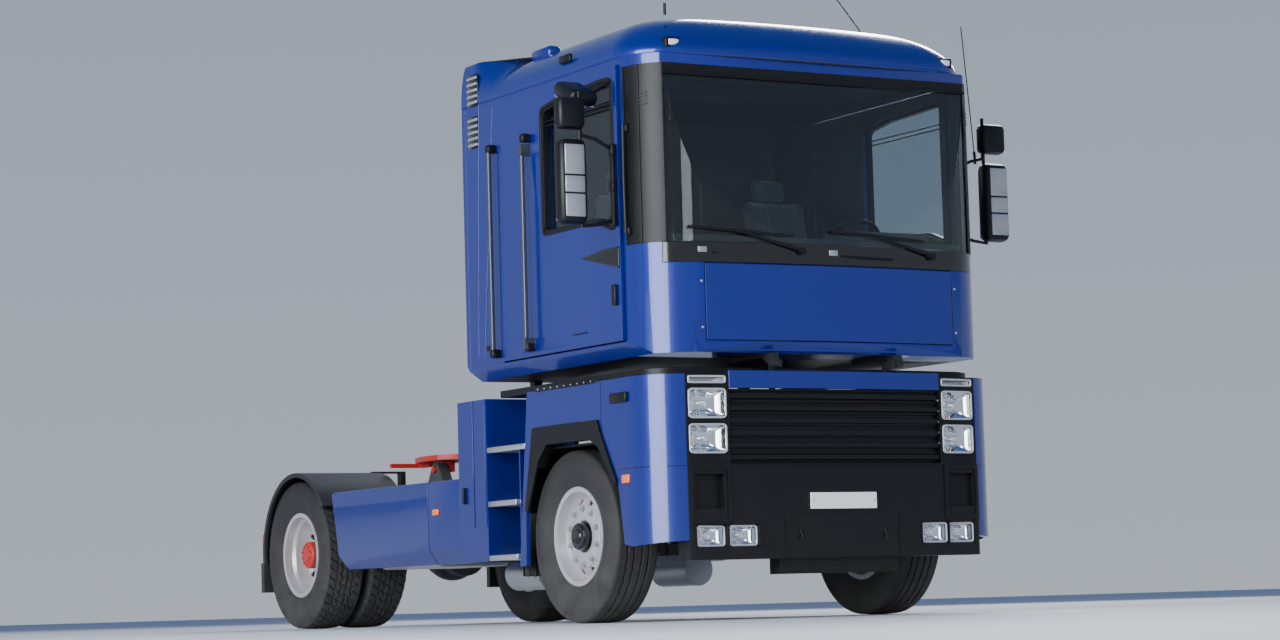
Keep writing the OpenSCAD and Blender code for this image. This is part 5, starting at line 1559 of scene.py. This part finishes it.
@dataclass
class Studio:
    """Floor, lights and camera."""

    yaw: float = 0.53010868
    pitch: float = 0.09209404
    roll: float = -0.02879642

    def camera(self) -> None:
        """A camera near the floor, ahead of the right front corner, with a long lens.

        It looks along (-cos yaw cos pitch, sin yaw cos pitch, sin pitch) and is rolled about that line.
        """
        cam = bpy.data.cameras.new("camera")
        cam.lens, cam.sensor_width, cam.clip_end = 86.88, 36.0, 200.0
        cam.dof.use_dof = False
        obj = bpy.data.objects.new("camera", cam)
        bpy.context.collection.objects.link(obj)
        look = Vector((-math.cos(self.yaw) * math.cos(self.pitch),
                       math.sin(self.yaw) * math.cos(self.pitch), math.sin(self.pitch)))
        right = look.cross(Vector((0, 0, 1))).normalized()
        up = right.cross(look)
        c, s = math.cos(self.roll), math.sin(self.roll)
        across, above = c * right + s * up, -s * right + c * up
        turn = Matrix((across, above, -look)).transposed().to_4x4()
        obj.matrix_world = Matrix.Translation((18.0835, -10.2580, 0.09996)) @ turn
        bpy.context.scene.camera = obj

    def light(self, name: str, place_at: Sequence[float], target: Sequence[float],
              size: tuple[float, float], power: float,
              colour: Sequence[float] = (1, 1, 1), mirrored_in_gloss: bool = True) -> None:
        """Add an area light that faces a target, kept out of glossy reflections where asked."""
        data = bpy.data.lights.new(name, "AREA")
        data.shape = "RECTANGLE"
        data.size, data.size_y = size
        data.energy, data.color = power, colour
        obj = bpy.data.objects.new(name, data)
        bpy.context.collection.objects.link(obj)
        aim = Vector(target) - Vector(place_at)
        obj.matrix_world = Matrix.Translation(place_at) @ aim.to_track_quat("-Z",
                                                                            "Y").to_matrix().to_4x4()
        obj.visible_glossy = mirrored_in_gloss

    def floor(self, pal_mat: bpy.types.Material) -> None:
        """A pale, level floor that reaches far behind."""
        shape = Shape()
        lean = np.array([(40.0, 0.0), (0.0, 0.0), (-40.0, 0.0), (-160.0, 0.0)])
        along = Vector((math.cos(self.yaw), -math.sin(self.yaw), 0))
        across = Vector((math.sin(self.yaw), math.cos(self.yaw), 0))
        pts = np.array([[list(along * float(d) + across * w + Vector((0, 0, float(z)))) for w in (-90.0,
                90.0)] for d, z in lean])
        mesh = bpy.data.meshes.new("floor")
        shape.grid(pts)
        mesh.from_pydata(np.vstack(shape.points).tolist(), [],
                         [f.tolist() for q in shape.quads for f in q])
        mesh.shade_smooth()
        mesh.materials.append(pal_mat)
        obj = bpy.data.objects.new("floor", mesh)
        bpy.context.collection.objects.link(obj)

    def build(self) -> None:
        """Camera, lights and floor."""
        self.camera()
        mat = bpy.data.materials.new("floor_paint")
        mat.use_nodes = True
        mat.node_tree.nodes.clear()
        g = Graph(mat.node_tree)
        noise = g.node("TexNoise", Vector=g.node("TexCoord").outputs["Object"], Scale=3.0,
                       Detail=5.0).outputs["Fac"]
        colour = g.mix(noise, rgba((0.60, 0.61, 0.62)), rgba((0.66, 0.66, 0.67)))
        bsdf = g.node("BsdfPrincipled", Roughness=0.65)
        g.tree.links.new(colour, bsdf.inputs["Base Color"])
        g.node("OutputMaterial", Surface=bsdf.outputs[0])
        self.floor(mat)
        world = bpy.data.worlds.new("studio")
        bpy.context.scene.world = world
        world.use_nodes = True
        world.node_tree.nodes.clear()
        g = Graph(world.node_tree)
        z = g.node("SeparateXYZ", Vector=g.node("TexCoord").outputs["Generated"]).outputs[2]
        sky = g.mix(g.math("MULTIPLY", g.math("ADD", z, 0.1), 1.2, clamp=True), rgba((0.86, 0.93, 1.0)),
                    rgba((0.10, 0.22, 0.55)))
        back = g.node("Background", Color=sky, Strength=0.62)
        g.node("OutputWorld", Surface=back.outputs[0])
        self.light("key", (6.8, -12.6, 4.4), (0.8, 0.0, 1.8), (9.0, 8.0), 2400.0, (0.92, 0.97, 1.0))
        self.light("front_fill", (19.0, -2.0, 7.0), (2.0, 0.0, 1.6), (8.0, 6.0), 1500.0, (1.0, 1.0, 1.0),
                   False)
        self.light("side_fill", (-6.0, -14.0, 5.0), (0.0, 0.0, 1.6), (9.0, 6.0), 700.0, (1.0, 1.0, 1.0),
                   False)
        self.light("rim", (-9.0, 10.0, 9.0), (0.0, 0.0, 2.2), (6.0, 5.0), 1500.0)


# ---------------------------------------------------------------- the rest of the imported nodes

PLAIN = {
    "chassis_frame": "frame_black", "engine_block": "cast", "front_axle_beam": "frame_black",
         "rear_axle": "frame_black",
    "springs": "frame_black", "propshaft": "cast", "side_tanks": "alloy", "side_skirts": "paint",
         "body_panels_left": "paint",
    "body_panels_right": "paint", "front_strip": "paint", "arch_trims": "black_plastic",
         "step_treads": "alloy",
    "grille": "black_plastic", "bumper": "black_plastic", "headlamps": "white_lens",
         "fog_lamps": "white_lens",
    "number_plate": "white_plate", "mudguards": "mud_rubber", "tail_lamps": "red_lens",
         "cab_deck": "black_plastic",
    "fifth_wheel_base": "cast", "fifth_wheel": "red_paint", "cab_floor": "frame_black",
         "windscreen": "screen_glass",
    "dashboard": "trim_grey", "seats": "seat_cloth", "bunk": "seat_cloth",
         "roof_antennas": "black_plastic",
    "door_glass_left": "screen_glass", "door_glass_right": "screen_glass",
         "mirrors_left": "black_plastic",
    "mirrors_right": "black_plastic", "steering_wheel": "black_plastic", "knuckle_left": "cast",
         "knuckle_right": "cast",
}


def finish_cad(pal: Palette) -> None:
    """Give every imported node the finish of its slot, and the ones that a piece stands for as well."""
    slots = {s["node"]: s.get("material_slot") for s in frame["record"]["subparts"]}
    for name, obj in frame["nodes"].items():
        finish = pal[PLAIN.get(name) or slots.get(name) or "black_plastic"]
        obj.data.materials.clear()
        obj.data.materials.append(finish)


def main() -> None:
    """Build the whole scene."""
    logging.basicConfig(level=logging.INFO, format="%(message)s")
    lay, pal = Layout(), Palette()
    Studio().build()
    finish_cad(pal)
    for part in (Wheels, Cab, LowerBody, Cabin, Rear):
        part(lay, pal).build()


if __name__ == "__main__":
    main()
